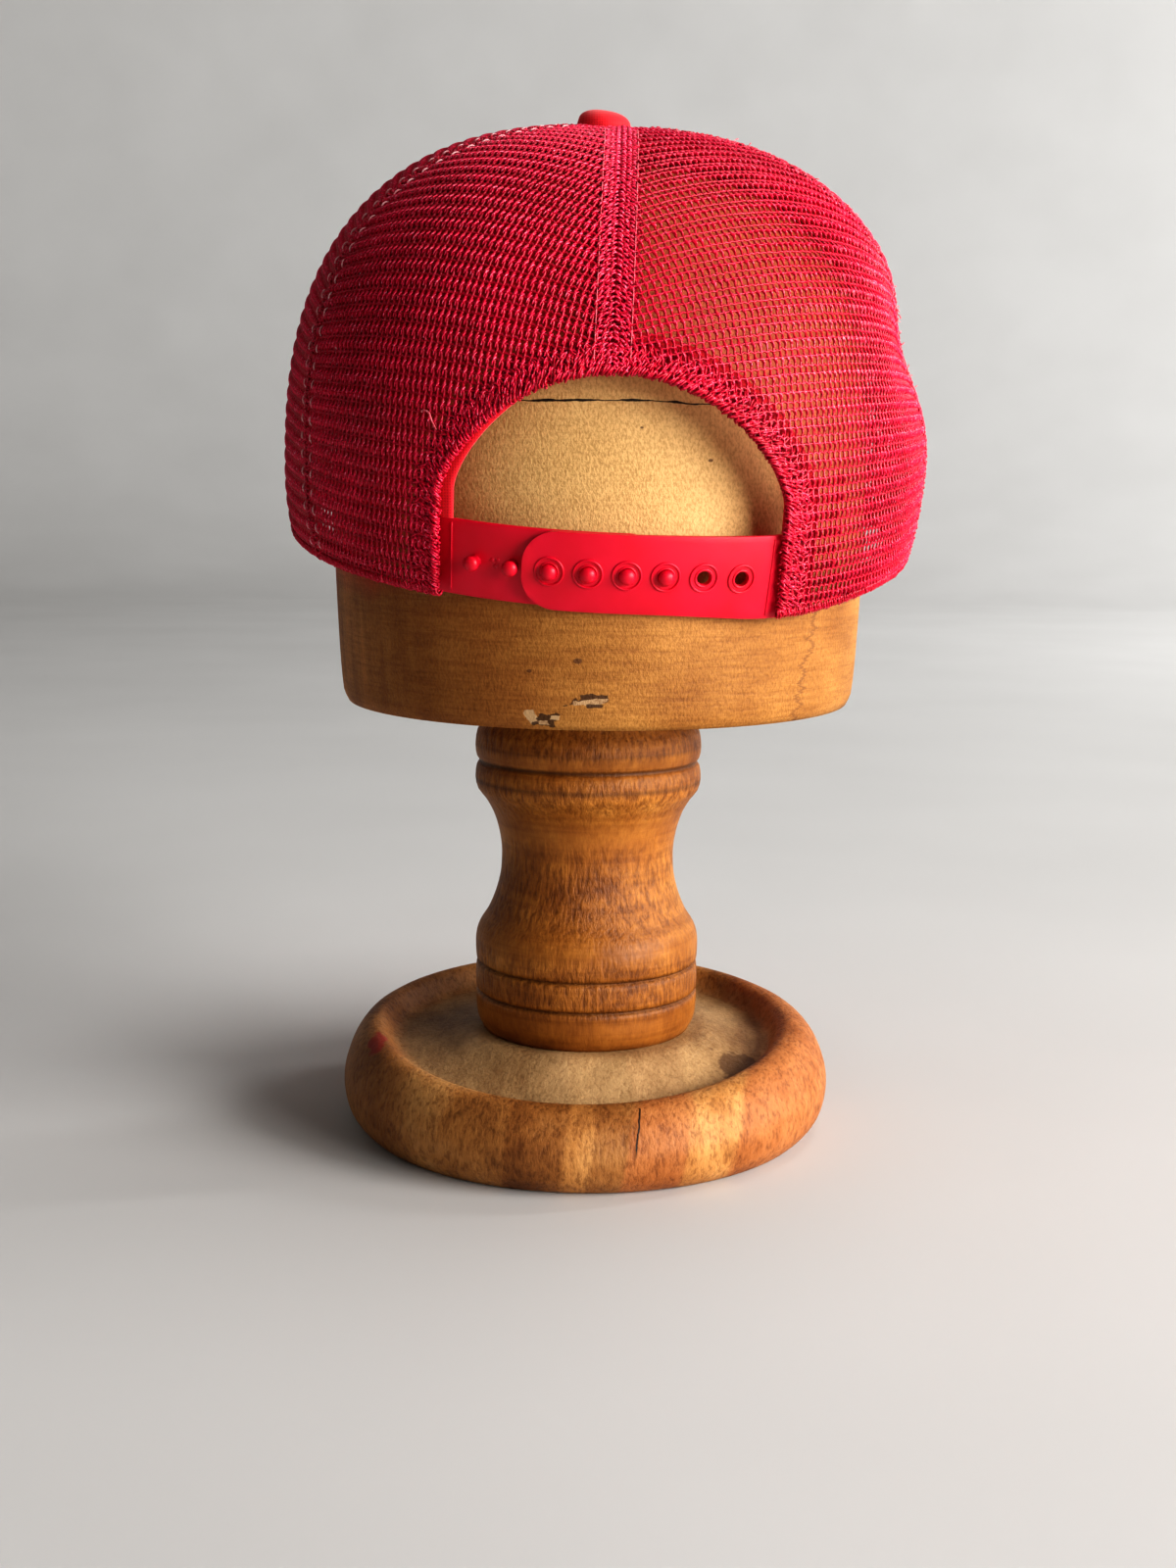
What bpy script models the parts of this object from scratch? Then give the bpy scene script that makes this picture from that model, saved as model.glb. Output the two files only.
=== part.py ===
# A mesh trucker cap resting on a turned wooden hat stand.
# Metres, +Z up. The origin is the centre of the stand's underside. The cap's arched opening and
# its snap strap face -Y, its brim points to +Y.

import math

import bmesh
import bpy
from mathutils import Matrix, Vector

# Clearances
FIT_GAP = 0.0003        # between pieces that rest on each other
SEAM_GAP = 0.0004       # between cloth panels that meet at a seam
LINING_GAP = 0.0006     # between the cloth and what lies inside it

# Stand: base
BASE_RADIUS = 0.0771
BASE_HEIGHT = 0.033
# Stand: column
RING_RADIUS = 0.0353    # the column's rings and beads
BLOCK_UNDERSIDE = 0.136
# Stand: block
BLOCK_HEIGHT = 0.1570
BLOCK_DOME = 0.06908    # how far down from its top the block is rounded
BLOCK_OFFSET = 0.0026   # the block sits a little to the right of the column's axis
BLOCK_BACKSET = 0.00225  # the block sits a little behind the middle of the crown

# Cap: placed on the block, leaning back and a little to the right
CAP_RIGHT = 0.0030
CAP_LEAN = math.radians(11.1)
CAP_ROLL = math.radians(2.2)
CROWN_TOP_BACK = 0.02374  # how far the crown's top lies behind the column's axis

# Room from the crown's outer face in to the block
TOP_ROOM = 0.0089
SIDE_ROOM = 0.0146
END_ROOM = 0.01025

# Cap: crown, in the cap's own frame, whose origin is in the middle of the rim
CROWN_HALF_WIDTH = 0.0951
CROWN_BACK = 0.1000
CROWN_FRONT = 0.1045
WALL_BAND = 0.0177      # the upright wall above the rim, where the dome starts
DOME_HEIGHT = 0.0999
RIM_TUCK = 0.0020       # how far the rim turns in
BACK_FULLNESS = 2.3     # exponents of the dome's section: higher is squarer
SIDE_FULLNESS = 2.53
FRONT_FULLNESS = 3.0
CROWN_TOP_HOLE = 0.0035  # the small ring where the panels meet under the button
MESH_WALL = 0.0018
FOAM_WALL = 0.0032

# The block fills the crown up to the room round it, and carries the cap
BLOCK_HALF_WIDTH = CROWN_HALF_WIDTH - SIDE_ROOM
BLOCK_HALF_LENGTH = 0.5 * (CROWN_BACK + CROWN_FRONT) - END_ROOM
BLOCK_FORWARD = 0.5 * (CROWN_FRONT - CROWN_BACK) - BLOCK_BACKSET
CROWN_HEIGHT = WALL_BAND + DOME_HEIGHT
CAP_FORWARD = CROWN_HEIGHT * math.sin(CAP_LEAN) - CROWN_TOP_BACK
CAP_RISE = BLOCK_UNDERSIDE + BLOCK_HEIGHT + TOP_ROOM - CROWN_HEIGHT * math.cos(CAP_LEAN)

# Cap: arch at the back
ARCH_CENTRE = 0.0025
ARCH_HALF_WIDTH = 0.0452
ARCH_STRAIGHT = 0.0280  # the height up to which the arch's sides are upright
ARCH_HEIGHT = 0.0604
ARCH_PEAK = 1.4         # 1 is a round arch, more is a more pointed one
TAPE_WIDTH = 0.0100
TAPE_THICKNESS = 0.0008
TAPE_PEEK = 0.0016      # how far the tape shows past the cloth's edge

# Cap: snap strap
STRAP_HEIGHT = 0.0200
STRAP_RISE = 0.0012     # the strap's lower edge above the rim
STRAP_THICKNESS = 0.0013
STRAP_TUCK = 0.0110     # how far each strap end runs under the cloth
TONGUE_REACH = 0.0650   # from the arch's right side to the hole tab's round end
PEG_TAB_REACH = 0.0590  # from the arch's left side to the peg tab's end
PEG_COUNT = 6
PEG_PITCH = 0.0103
FIRST_PEG = 0.0085      # from the arch's left side
PEG_RADIUS = 0.0015
PEG_HEAD_RADIUS = 0.0020
PEG_HEAD_HEIGHT = 0.0012
HOLE_RADIUS = 0.0019
FIRST_HOLE = 0.0066     # from the tongue's end
TAB_CORNER = 0.0090     # radius of the tabs' round corners

# Cap: brim and button
BRIM_LENGTH = 0.068
BRIM_NARROWING = 0.0046  # the brim's half width is this much less than the crown's
BRIM_HALF_WIDTH = CROWN_HALF_WIDTH - BRIM_NARROWING
BRIM_THICKNESS = 0.0028
BRIM_DROOP = 0.0120     # how far the brim's sides curve down
BRIM_SLOPE = math.radians(6.0)
BUTTON_RADIUS = 0.0075
BUTTON_HEIGHT = 0.0056

# Seams: (azimuth at the rim, azimuth from mid height up), degrees from the back, + to the right
SEAMS = {
    "front_left": (-120.0, -122.0),
    "left": (-56.0, -66.0),
    "back": (0.0, 0.0),
    "right": (77.0, 76.0),
    "front_right": (120.0, 122.0),
}

# Dents: (azimuth in degrees, height as a share of the crown's, depth as a share of its half
# width, spread in degrees, spread as a share of the crown's height)
DENTS = (
    (82.0, 0.53, 0.056, 15.0, 0.100),
    (84.0, 0.27, -0.010, 16.0, 0.090),
)

# Turned base, from the middle of the top, over the rim, to the underside:
# (share of the base's radius, share of its height)
BASE_PROFILE = (
    (0.00, 0.915),
    (0.49, 0.915),
    (0.62, 0.850),
    (0.71, 0.815),
    (0.78, 0.812),
    (0.82, 0.865),
    (0.847, 0.955),
    (0.877, 1.000),
    (0.916, 0.958),
    (0.960, 0.803),
    (0.994, 0.576),
    (1.000, 0.394),
    (0.981, 0.197),
    (0.940, 0.060),
    (0.901, 0.000),
    (0.00, 0.000),
)

# Turned column, from its top down: (share of the ring radius, share of the column's height)
COLUMN_PROFILE = (
    (0.000, 1.000),
    (0.905, 1.000),
    (0.930, 0.935),
    (0.985, 0.900),
    (1.003, 0.855),
    (0.990, 0.825),
    (0.958, 0.811),
    (0.990, 0.797),
    (1.003, 0.760),
    (0.980, 0.727),
    (0.917, 0.700),
    (0.850, 0.661),
    (0.800, 0.613),
    (0.771, 0.560),
    (0.766, 0.520),
    (0.778, 0.466),
    (0.822, 0.408),
    (0.888, 0.355),
    (0.965, 0.314),
    (0.997, 0.275),
    (0.992, 0.212),
    (0.958, 0.203),
    (0.992, 0.194),
    (0.996, 0.125),
    (0.962, 0.116),
    (0.994, 0.107),
    (0.983, 0.040),
    (0.930, 0.000),
    (0.000, 0.000),
)

# Block, from its top down: (share of the half width, share of the block's height)
BLOCK_FULLNESS = 2.35
BLOCK_DOME_STEPS = 9
BLOCK_SIDE = (
    (1.000, 0.30),
    (0.985, 0.10),
    (0.972, 0.020),
    (0.955, 0.000),
    (0.000, 0.000),
)

# Mesh density
TURN_STEPS = 40
PANEL_COLUMNS = 11
PANEL_ROWS = 13
ARCH_STEPS = 22
STRAP_STEPS = 20

COLOURS = {
    "mesh": (0.52, 0.012, 0.030, 0.62, "red_mesh"),
    "foam": (0.55, 0.016, 0.032, 0.85, "red_foam"),
    "cloth": (0.56, 0.010, 0.024, 0.80, "red_cloth"),
    "plastic": (0.62, 0.012, 0.022, 0.35, "red_plastic"),
    "block": (0.50, 0.30, 0.13, 0.60, "block_wood"),
    "turned": (0.36, 0.16, 0.05, 0.50, "turned_wood"),
}


def clear_scene():
    for old in list(bpy.data.objects):
        bpy.data.objects.remove(old, do_unlink=True)


def new_collection(name):
    collection = bpy.data.collections.new(name)
    bpy.context.scene.collection.children.link(collection)
    return collection


def make_material(key):
    red, green, blue, roughness, name = COLOURS[key]
    material = bpy.data.materials.new(name)
    material.use_nodes = True
    shader = material.node_tree.nodes["Principled BSDF"]
    shader.inputs["Base Color"].default_value = (red, green, blue, 1.0)
    shader.inputs["Roughness"].default_value = roughness
    material.diffuse_color = (red, green, blue, 1.0)
    return material


def add_object(name, mesh, collection, material=None, parent=None):
    piece = bpy.data.objects.new(name, mesh)
    collection.objects.link(piece)
    if material is not None:
        mesh.materials.append(material)
    if parent is not None:
        piece.parent = parent
    return piece


def mark_cutter(cutter):
    cutter.hide_render = True
    cutter.display_type = "WIRE"


def grid_mesh(name, rows):
    """An open surface through rows of points."""
    shape = bmesh.new()
    lines = [[shape.verts.new(point) for point in row] for row in rows]
    for low, high in zip(lines, lines[1:]):
        for k in range(len(low) - 1):
            shape.faces.new((low[k], low[k + 1], high[k + 1], high[k]))
    mesh = bpy.data.meshes.new(name)
    shape.to_mesh(mesh)
    shape.free()
    mesh.shade_smooth()
    return mesh


def thicken(piece, thickness, side):
    """Gives an open surface its thickness: side -1 grows inwards, 1 outwards."""
    solid = piece.modifiers.new("wall", "SOLIDIFY")
    solid.thickness = thickness
    solid.offset = side
    solid.use_even_offset = True


def turned(name, points, collection, material, steps=TURN_STEPS):
    """A turned piece from its half section, given from the top down its outer side."""
    mesh = bpy.data.meshes.new(name)
    edges = [(k, k + 1) for k in range(len(points) - 1)]
    mesh.from_pydata([(r, 0.0, z) for r, z in points], edges, [])
    piece = add_object(name, mesh, collection, material)
    screw = piece.modifiers.new("turn", "SCREW")
    screw.axis = "Z"
    screw.steps = steps
    screw.render_steps = steps
    screw.use_merge_vertices = True
    screw.merge_threshold = 0.0001
    screw.use_smooth_shade = True
    return piece


def boolean(piece, other, operation):
    modifier = piece.modifiers.new(operation.lower(), "BOOLEAN")
    modifier.operation = operation
    modifier.solver = "EXACT"
    modifier.object = other


# The crown's form

def plan_radius(azimuth):
    """The crown's half size seen from above, at an azimuth from the back."""
    across = math.sin(azimuth) / CROWN_HALF_WIDTH
    length = CROWN_BACK if math.cos(azimuth) > 0 else CROWN_FRONT
    along = math.cos(azimuth) / length
    return 1.0 / math.hypot(across, along)


def fullness(azimuth):
    end = BACK_FULLNESS if math.cos(azimuth) > 0 else FRONT_FULLNESS
    side_share = math.sin(azimuth) ** 2
    return end + (SIDE_FULLNESS - end) * side_share


def dent_depth(azimuth, height):
    depth = 0.0
    for centre, rise, share, turn_spread, rise_spread in DENTS:
        turn = (math.degrees(azimuth) - centre) / turn_spread
        lift = (height / CROWN_HEIGHT - rise) / rise_spread
        depth += share * CROWN_HALF_WIDTH * math.exp(-0.5 * (turn * turn + lift * lift))
    return depth


def crown_radius(azimuth, height):
    """Distance of the crown's outer face from its axis."""
    radius = plan_radius(azimuth)
    if height < WALL_BAND:
        tuck = (WALL_BAND - height) / WALL_BAND
        radius -= RIM_TUCK * tuck * tuck
    else:
        power = fullness(azimuth)
        rise = min((height - WALL_BAND) / DOME_HEIGHT, 1.0)
        radius *= (1.0 - rise ** power) ** (1.0 / power)
    return radius


def crown_point(azimuth, rise):
    """A point of the crown's outer face; rise runs from 0 at the rim to 1 at the top."""
    wall_share = 0.12
    if rise < wall_share:
        height = WALL_BAND * rise / wall_share
        radius = crown_radius(azimuth, height)
    else:
        power = fullness(azimuth)
        top_angle = math.acos((CROWN_TOP_HOLE / plan_radius(azimuth)) ** (power / 2.0))
        angle = top_angle * (rise - wall_share) / (1.0 - wall_share)
        radius = plan_radius(azimuth) * math.cos(angle) ** (2.0 / power)
        height = WALL_BAND + DOME_HEIGHT * math.sin(angle) ** (2.0 / power)
    radius -= dent_depth(azimuth, height) * min(1.0, radius / (0.5 * CROWN_HALF_WIDTH))
    return Vector((radius * math.sin(azimuth), -radius * math.cos(azimuth), height))


def back_point(across, height, inset):
    """A point inside the crown's back wall, by its sideways place and its height."""
    azimuth = 0.0
    for _ in range(8):
        radius = crown_radius(azimuth, height) - inset
        azimuth = math.asin(max(-0.999, min(0.999, across / radius)))
    return Vector((across, -radius * math.cos(azimuth), height))


def seam_azimuth(name, rise):
    low, high = SEAMS[name]
    share = min(1.0, rise / 0.5)
    return math.radians(low + (high - low) * share)


def panel(name, left_seam, right_seam, wall, collection, material, parent):
    """One cloth panel between two seams."""
    rows = []
    for j in range(PANEL_ROWS + 1):
        rise = j / PANEL_ROWS
        left = seam_azimuth(left_seam, rise)
        right = seam_azimuth(right_seam, rise)
        if right < left:
            right += 2.0 * math.pi
        edge = crown_point(left, rise)
        trim = 0.5 * SEAM_GAP / math.hypot(edge.x, edge.y)
        left += trim
        right -= trim
        rows.append([crown_point(left + (right - left) * k / PANEL_COLUMNS, rise)
                     for k in range(PANEL_COLUMNS + 1)])
    piece = add_object(name, grid_mesh(name, rows), collection, material, parent)
    thicken(piece, wall, -1)
    return piece


# The arch

def arch_outline(offset, steps=ARCH_STEPS):
    """The arch's curve (across, height), from its left side over the top to its right side."""
    half = ARCH_HALF_WIDTH + offset
    rise = ARCH_HEIGHT - ARCH_STRAIGHT + offset
    points = []
    for k in range(steps + 1):
        angle = math.pi * (1.0 - k / steps)
        lift = abs(math.sin(angle)) ** ARCH_PEAK
        points.append((ARCH_CENTRE + half * math.cos(angle), ARCH_STRAIGHT + rise * lift))
    return points


def arch_cutter(collection, parent):
    """A block of the arch's outline that reaches through the back wall."""
    below = -0.5 * WALL_BAND
    outline = [(ARCH_CENTRE - ARCH_HALF_WIDTH, below)]
    outline += arch_outline(0.0)
    outline.append((ARCH_CENTRE + ARCH_HALF_WIDTH, below))
    shape = bmesh.new()
    outside = -1.3 * CROWN_BACK
    inside = -0.5 * CROWN_BACK
    face = shape.faces.new([shape.verts.new((x, outside, z)) for x, z in outline])
    grown = bmesh.ops.extrude_face_region(shape, geom=[face])
    moved = [item for item in grown["geom"] if isinstance(item, bmesh.types.BMVert)]
    bmesh.ops.translate(shape, verts=moved, vec=(0.0, inside - outside, 0.0))
    bmesh.ops.recalc_face_normals(shape, faces=shape.faces)
    mesh = bpy.data.meshes.new("arch_cutter")
    shape.to_mesh(mesh)
    shape.free()
    cutter = add_object("arch_cutter", mesh, collection, None, parent)
    mark_cutter(cutter)
    return cutter


def arch_tape(collection, material, parent):
    """The binding along the arch, inside the cloth, from strap end to strap end."""
    bottom = STRAP_RISE + STRAP_HEIGHT + FIT_GAP
    inset = MESH_WALL * 1.08 + LINING_GAP
    rows = []
    for offset in (-TAPE_PEEK, 0.35 * TAPE_WIDTH, TAPE_WIDTH - TAPE_PEEK):
        outline = arch_outline(offset)
        left = (outline[0][0], bottom)
        right = (outline[-1][0], bottom)
        rows.append([back_point(x, z, inset) for x, z in [left] + outline + [right]])
    rows.reverse()
    piece = add_object("arch_tape", grid_mesh("arch_tape", rows), collection, material, parent)
    thicken(piece, TAPE_THICKNESS, 1)
    return piece


# The snap strap

def strap_inset(layer):
    """How far in from the crown's outer face a strap layer's outer face lies."""
    return MESH_WALL * 1.08 + LINING_GAP + layer * (STRAP_THICKNESS + FIT_GAP)


def tab_mesh(name, start, end, round_end, inset):
    """A strap tab between two places across the back, with one round end."""
    middle = STRAP_RISE + 0.5 * STRAP_HEIGHT
    rows = []
    for k in range(STRAP_STEPS + 1):
        share = k / STRAP_STEPS
        # stations crowd at both ends, so the round end is smooth
        across = start + (end - start) * 0.5 * (1.0 - math.cos(math.pi * share))
        from_end = abs(round_end - across)
        half = 0.5 * STRAP_HEIGHT
        if from_end < TAB_CORNER:
            cut = TAB_CORNER - math.sqrt(max(0.0, TAB_CORNER ** 2 - (TAB_CORNER - from_end) ** 2))
            half -= cut
        rows.append([back_point(across, middle + half * side, inset) for side in (-1.0, 0.0, 1.0)])
    return grid_mesh(name, rows)


def arch_sides():
    return ARCH_CENTRE - ARCH_HALF_WIDTH, ARCH_CENTRE + ARCH_HALF_WIDTH


def aim(across, height, inset):
    """A frame on the strap's outer face, its z axis pointing out."""
    here = back_point(across, height, inset)
    step = 0.0005
    side = back_point(across + step, height, inset) - here
    rise = back_point(across, height + step, inset) - here
    out = side.cross(rise).normalized()
    up = (rise - out * rise.dot(out)).normalized()
    turn = Matrix((up.cross(out), up, out)).transposed()
    return Matrix.Translation(here) @ turn.to_4x4()


def peg_row(collection, parent):
    """Mushroom pegs that rise from the peg tab through the hole tab."""
    left, _ = arch_sides()
    height = STRAP_RISE + 0.5 * STRAP_HEIGHT
    root = -0.5 * STRAP_THICKNESS
    neck = FIT_GAP + STRAP_THICKNESS + FIT_GAP
    shape = bmesh.new()
    for k in range(PEG_COUNT):
        place = aim(left + FIRST_PEG + k * PEG_PITCH, height, strap_inset(1))
        profile = ((PEG_RADIUS, root), (PEG_RADIUS, neck), (PEG_HEAD_RADIUS, neck),
                   (PEG_HEAD_RADIUS, neck + 0.4 * PEG_HEAD_HEIGHT),
                   (0.6 * PEG_HEAD_RADIUS, neck + PEG_HEAD_HEIGHT))
        sides = 10
        rings = [[shape.verts.new(place @ Vector((r * math.cos(a), r * math.sin(a), z)))
                  for a in (2.0 * math.pi * n / sides for n in range(sides))] for r, z in profile]
        for low, high in zip(rings, rings[1:]):
            for n in range(sides):
                shape.faces.new((low[n], low[(n + 1) % sides], high[(n + 1) % sides], high[n]))
        shape.faces.new(list(reversed(rings[0])))
        shape.faces.new(rings[-1])
    mesh = bpy.data.meshes.new("peg_row")
    shape.to_mesh(mesh)
    shape.free()
    pegs = add_object("peg_row", mesh, collection, None, parent)
    mark_cutter(pegs)
    return pegs


def hole_row(collection, parent):
    """Cutters for the hole tab, each in line with a peg's place."""
    left, _ = arch_sides()
    height = STRAP_RISE + 0.5 * STRAP_HEIGHT
    first = first_hole_peg()
    shape = bmesh.new()
    for k in range(PEG_COUNT):
        place = aim(left + FIRST_PEG + (first + k) * PEG_PITCH, height, strap_inset(0))
        bmesh.ops.create_cone(shape, cap_ends=True, segments=12, radius1=HOLE_RADIUS,
                              radius2=HOLE_RADIUS, depth=4.0 * STRAP_THICKNESS, matrix=place)
    mesh = bpy.data.meshes.new("hole_row")
    shape.to_mesh(mesh)
    shape.free()
    holes = add_object("hole_row", mesh, collection, None, parent)
    mark_cutter(holes)
    return holes


def first_hole_peg():
    """The number of the first peg that the tongue's first hole takes."""
    left, right = arch_sides()
    first_hole = right - TONGUE_REACH + FIRST_HOLE
    return round((first_hole - left - FIRST_PEG) / PEG_PITCH)


def snap_strap(parts, cutters, material, parent):
    left, right = arch_sides()
    peg_end = left + PEG_TAB_REACH
    peg_mesh = tab_mesh("strap_peg_tab", left - STRAP_TUCK, peg_end, peg_end, strap_inset(1))
    peg_tab = add_object("strap_peg_tab", peg_mesh, parts, material, parent)
    thicken(peg_tab, STRAP_THICKNESS, 1)
    boolean(peg_tab, peg_row(cutters, parent), "UNION")
    tongue = right - TONGUE_REACH
    hole_mesh = tab_mesh("strap_hole_tab", tongue, right + STRAP_TUCK, tongue, strap_inset(0))
    hole_tab = add_object("strap_hole_tab", hole_mesh, parts, material, parent)
    thicken(hole_tab, STRAP_THICKNESS, 1)
    boolean(hole_tab, hole_row(cutters, parent), "DIFFERENCE")


# The brim and the button

def brim(collection, material, parent):
    """The curved peak, whose inner edge lies under the front panel's edge."""
    columns = 22
    reach = 6
    left = seam_azimuth("front_right", 0.0)
    right = seam_azimuth("front_left", 0.0) + 2.0 * math.pi
    corner = crown_radius(left, 0.0)
    corner_y = -corner * math.cos(left)
    tip = CROWN_FRONT + BRIM_LENGTH
    rows = []
    for j in range(reach + 1):
        out = j / reach
        row = []
        for k in range(columns + 1):
            azimuth = left + (right - left) * k / columns
            radius = crown_radius(azimuth, 0.0) - 0.9 * FOAM_WALL
            inner = Vector((radius * math.sin(azimuth), -radius * math.cos(azimuth), 0.0))
            turn = math.pi * k / columns
            edge_x = BRIM_HALF_WIDTH * math.cos(turn)
            edge_y = corner_y + (tip - corner_y) * math.sin(turn) ** (2.0 / 2.6)
            outer = Vector((edge_x, edge_y, 0.0))
            point = inner.lerp(outer, out)
            far = (outer - inner).length * out
            side = abs(point.x) / BRIM_HALF_WIDTH
            ease = min(1.0, far / BRIM_LENGTH)
            point.z = -FIT_GAP - far * math.tan(BRIM_SLOPE)
            point.z -= BRIM_DROOP * side * side * ease * ease * (3.0 - 2.0 * ease)
            row.append(point)
        rows.append(row)
    rows.reverse()
    piece = add_object("brim", grid_mesh("brim", rows), collection, material, parent)
    thicken(piece, BRIM_THICKNESS, -1)
    return piece


def button(collection, material, parent):
    """The cloth covered button over the place where the panels meet."""
    foot = CROWN_HEIGHT + FIT_GAP
    steps = 6
    points = []
    for k in range(steps + 1):
        angle = 0.5 * math.pi * (1.0 - k / steps)
        radius = BUTTON_RADIUS * math.cos(angle) ** 0.8 if k else 0.0
        points.append((radius, foot + 0.25 * BUTTON_HEIGHT + 0.75 * BUTTON_HEIGHT * math.sin(angle)))
    points.append((0.94 * BUTTON_RADIUS, foot))
    points.append((0.0, foot))
    piece = turned("crown_button", points, collection, material, 20)
    piece.parent = parent
    return piece


# The stand

def stand(collection, turned_wood, block_wood):
    base_points = [(BASE_RADIUS * r, BASE_HEIGHT * z) for r, z in BASE_PROFILE]
    turned("stand_base", base_points, collection, turned_wood, 48)

    floor = BASE_HEIGHT * BASE_PROFILE[0][1] + FIT_GAP
    tall = BLOCK_UNDERSIDE - FIT_GAP - floor
    column_points = [(RING_RADIUS * r, floor + tall * z) for r, z in COLUMN_PROFILE]
    turned("stand_column", column_points, collection, turned_wood, 32)

    shoulder = BLOCK_HEIGHT - BLOCK_DOME
    points = []
    for k in range(BLOCK_DOME_STEPS + 1):
        angle = 0.5 * math.pi * (1.0 - k / BLOCK_DOME_STEPS)
        radius = math.cos(angle) ** (2.0 / BLOCK_FULLNESS) if k else 0.0
        lift = math.sin(angle) ** (2.0 / BLOCK_FULLNESS)
        points.append((BLOCK_HALF_WIDTH * radius, shoulder + BLOCK_DOME * lift))
    points += [(BLOCK_HALF_WIDTH * r, BLOCK_HEIGHT * z) for r, z in BLOCK_SIDE]
    block = turned("hat_block", points, collection, block_wood, 48)
    block.scale = (1.0, BLOCK_HALF_LENGTH / BLOCK_HALF_WIDTH, 1.0)
    block.location = (BLOCK_OFFSET, BLOCK_FORWARD, BLOCK_UNDERSIDE)


def cap(parts, cutters, materials):
    frame = bpy.data.objects.new("cap_frame", None)
    parts.objects.link(frame)
    frame.location = (CAP_RIGHT, CAP_FORWARD, CAP_RISE)
    frame.rotation_euler = (CAP_LEAN, CAP_ROLL, 0.0)

    cutter = arch_cutter(cutters, frame)
    mesh_cloth = materials["mesh"]
    for name, left, right in (("back_panel_left", "left", "back"), ("back_panel_right", "back", "right")):
        back = panel(name, left, right, MESH_WALL, parts, mesh_cloth, frame)
        boolean(back, cutter, "DIFFERENCE")
    panel("side_panel_left", "front_left", "left", MESH_WALL, parts, mesh_cloth, frame)
    panel("side_panel_right", "right", "front_right", MESH_WALL, parts, mesh_cloth, frame)
    panel("front_panel", "front_right", "front_left", FOAM_WALL, parts, materials["foam"], frame)
    arch_tape(parts, materials["cloth"], frame)
    snap_strap(parts, cutters, materials["plastic"], frame)
    brim(parts, materials["cloth"], frame)
    button(parts, materials["cloth"], frame)


def main():
    clear_scene()
    parts = new_collection("trucker_cap_on_stand")
    cutters = new_collection("cutters")
    materials = {key: make_material(key) for key in COLOURS}
    stand(parts, materials["turned"], materials["block"])
    cap(parts, cutters, materials)
    bpy.context.view_layer.update()


main()
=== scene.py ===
"""The looks of a mesh trucker cap that rests on its turned wooden hat stand."""

import math

import bmesh
import bpy
import numpy as np
from mathutils import Matrix, Vector


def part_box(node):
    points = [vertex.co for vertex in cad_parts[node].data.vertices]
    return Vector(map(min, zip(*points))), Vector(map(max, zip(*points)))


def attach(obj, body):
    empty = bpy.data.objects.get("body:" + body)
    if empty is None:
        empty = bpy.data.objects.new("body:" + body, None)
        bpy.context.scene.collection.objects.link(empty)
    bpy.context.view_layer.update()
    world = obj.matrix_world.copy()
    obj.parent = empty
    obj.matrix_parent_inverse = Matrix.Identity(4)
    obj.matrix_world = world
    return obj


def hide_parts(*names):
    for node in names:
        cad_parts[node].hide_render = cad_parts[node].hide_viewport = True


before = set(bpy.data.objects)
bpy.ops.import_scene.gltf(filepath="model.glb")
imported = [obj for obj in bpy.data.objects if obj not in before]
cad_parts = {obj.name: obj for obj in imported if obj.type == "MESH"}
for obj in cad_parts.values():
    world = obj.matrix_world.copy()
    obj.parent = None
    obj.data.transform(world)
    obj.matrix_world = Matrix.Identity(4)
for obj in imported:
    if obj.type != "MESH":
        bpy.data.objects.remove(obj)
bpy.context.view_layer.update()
draws = np.random.default_rng(41)

# The cap's own frame: its origin is the middle of the rim, its arch faces -Y
CAP_PLACE = Vector((0.0030, -0.0011, 0.1865))
CAP_LEAN = math.radians(11.1)
CAP_ROLL = math.radians(2.2)
CAP_TURN = Matrix.Rotation(CAP_ROLL, 3, "Y") @ Matrix.Rotation(CAP_LEAN, 3, "X")
CAP_FRAME = Matrix.Translation(CAP_PLACE) @ CAP_TURN.to_4x4()
WORLD = Matrix.Identity(4)

# The crown's form, as in the solids
CROWN_HALF_WIDTH = 0.0951
CROWN_BACK = 0.1000
CROWN_FRONT = 0.1045
WALL_BAND = 0.0177
DOME_HEIGHT = 0.0999
CROWN_HEIGHT = WALL_BAND + DOME_HEIGHT
RIM_TUCK = 0.0020
BACK_FULLNESS = 2.3
SIDE_FULLNESS = 2.53
FRONT_FULLNESS = 3.0
CROWN_TOP_HOLE = 0.0035
WALL_SHARE = 0.12       # share of the rise that the upright band takes
MESH_WALL = 0.0018
FOAM_WALL = 0.0032
LINING_GAP = 0.0006
FIT_GAP = 0.0003

# Seams: (azimuth at the rim, azimuth from mid height up), degrees from the back, + to the right
SEAMS = {
    "front_left": (-120.0, -122.0),
    "left": (-56.0, -66.0),
    "back": (0.0, 0.0),
    "right": (77.0, 76.0),
    "front_right": (120.0, 122.0),
}

# Dents: (azimuth in degrees, height share, depth share of the half width, spread around in degrees,
# spread up as a height share); the second bulges out
DENTS = (
    (82.0, 0.53, 0.056, 15.0, 0.100),
    (84.0, 0.27, -0.010, 16.0, 0.090),
)

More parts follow.
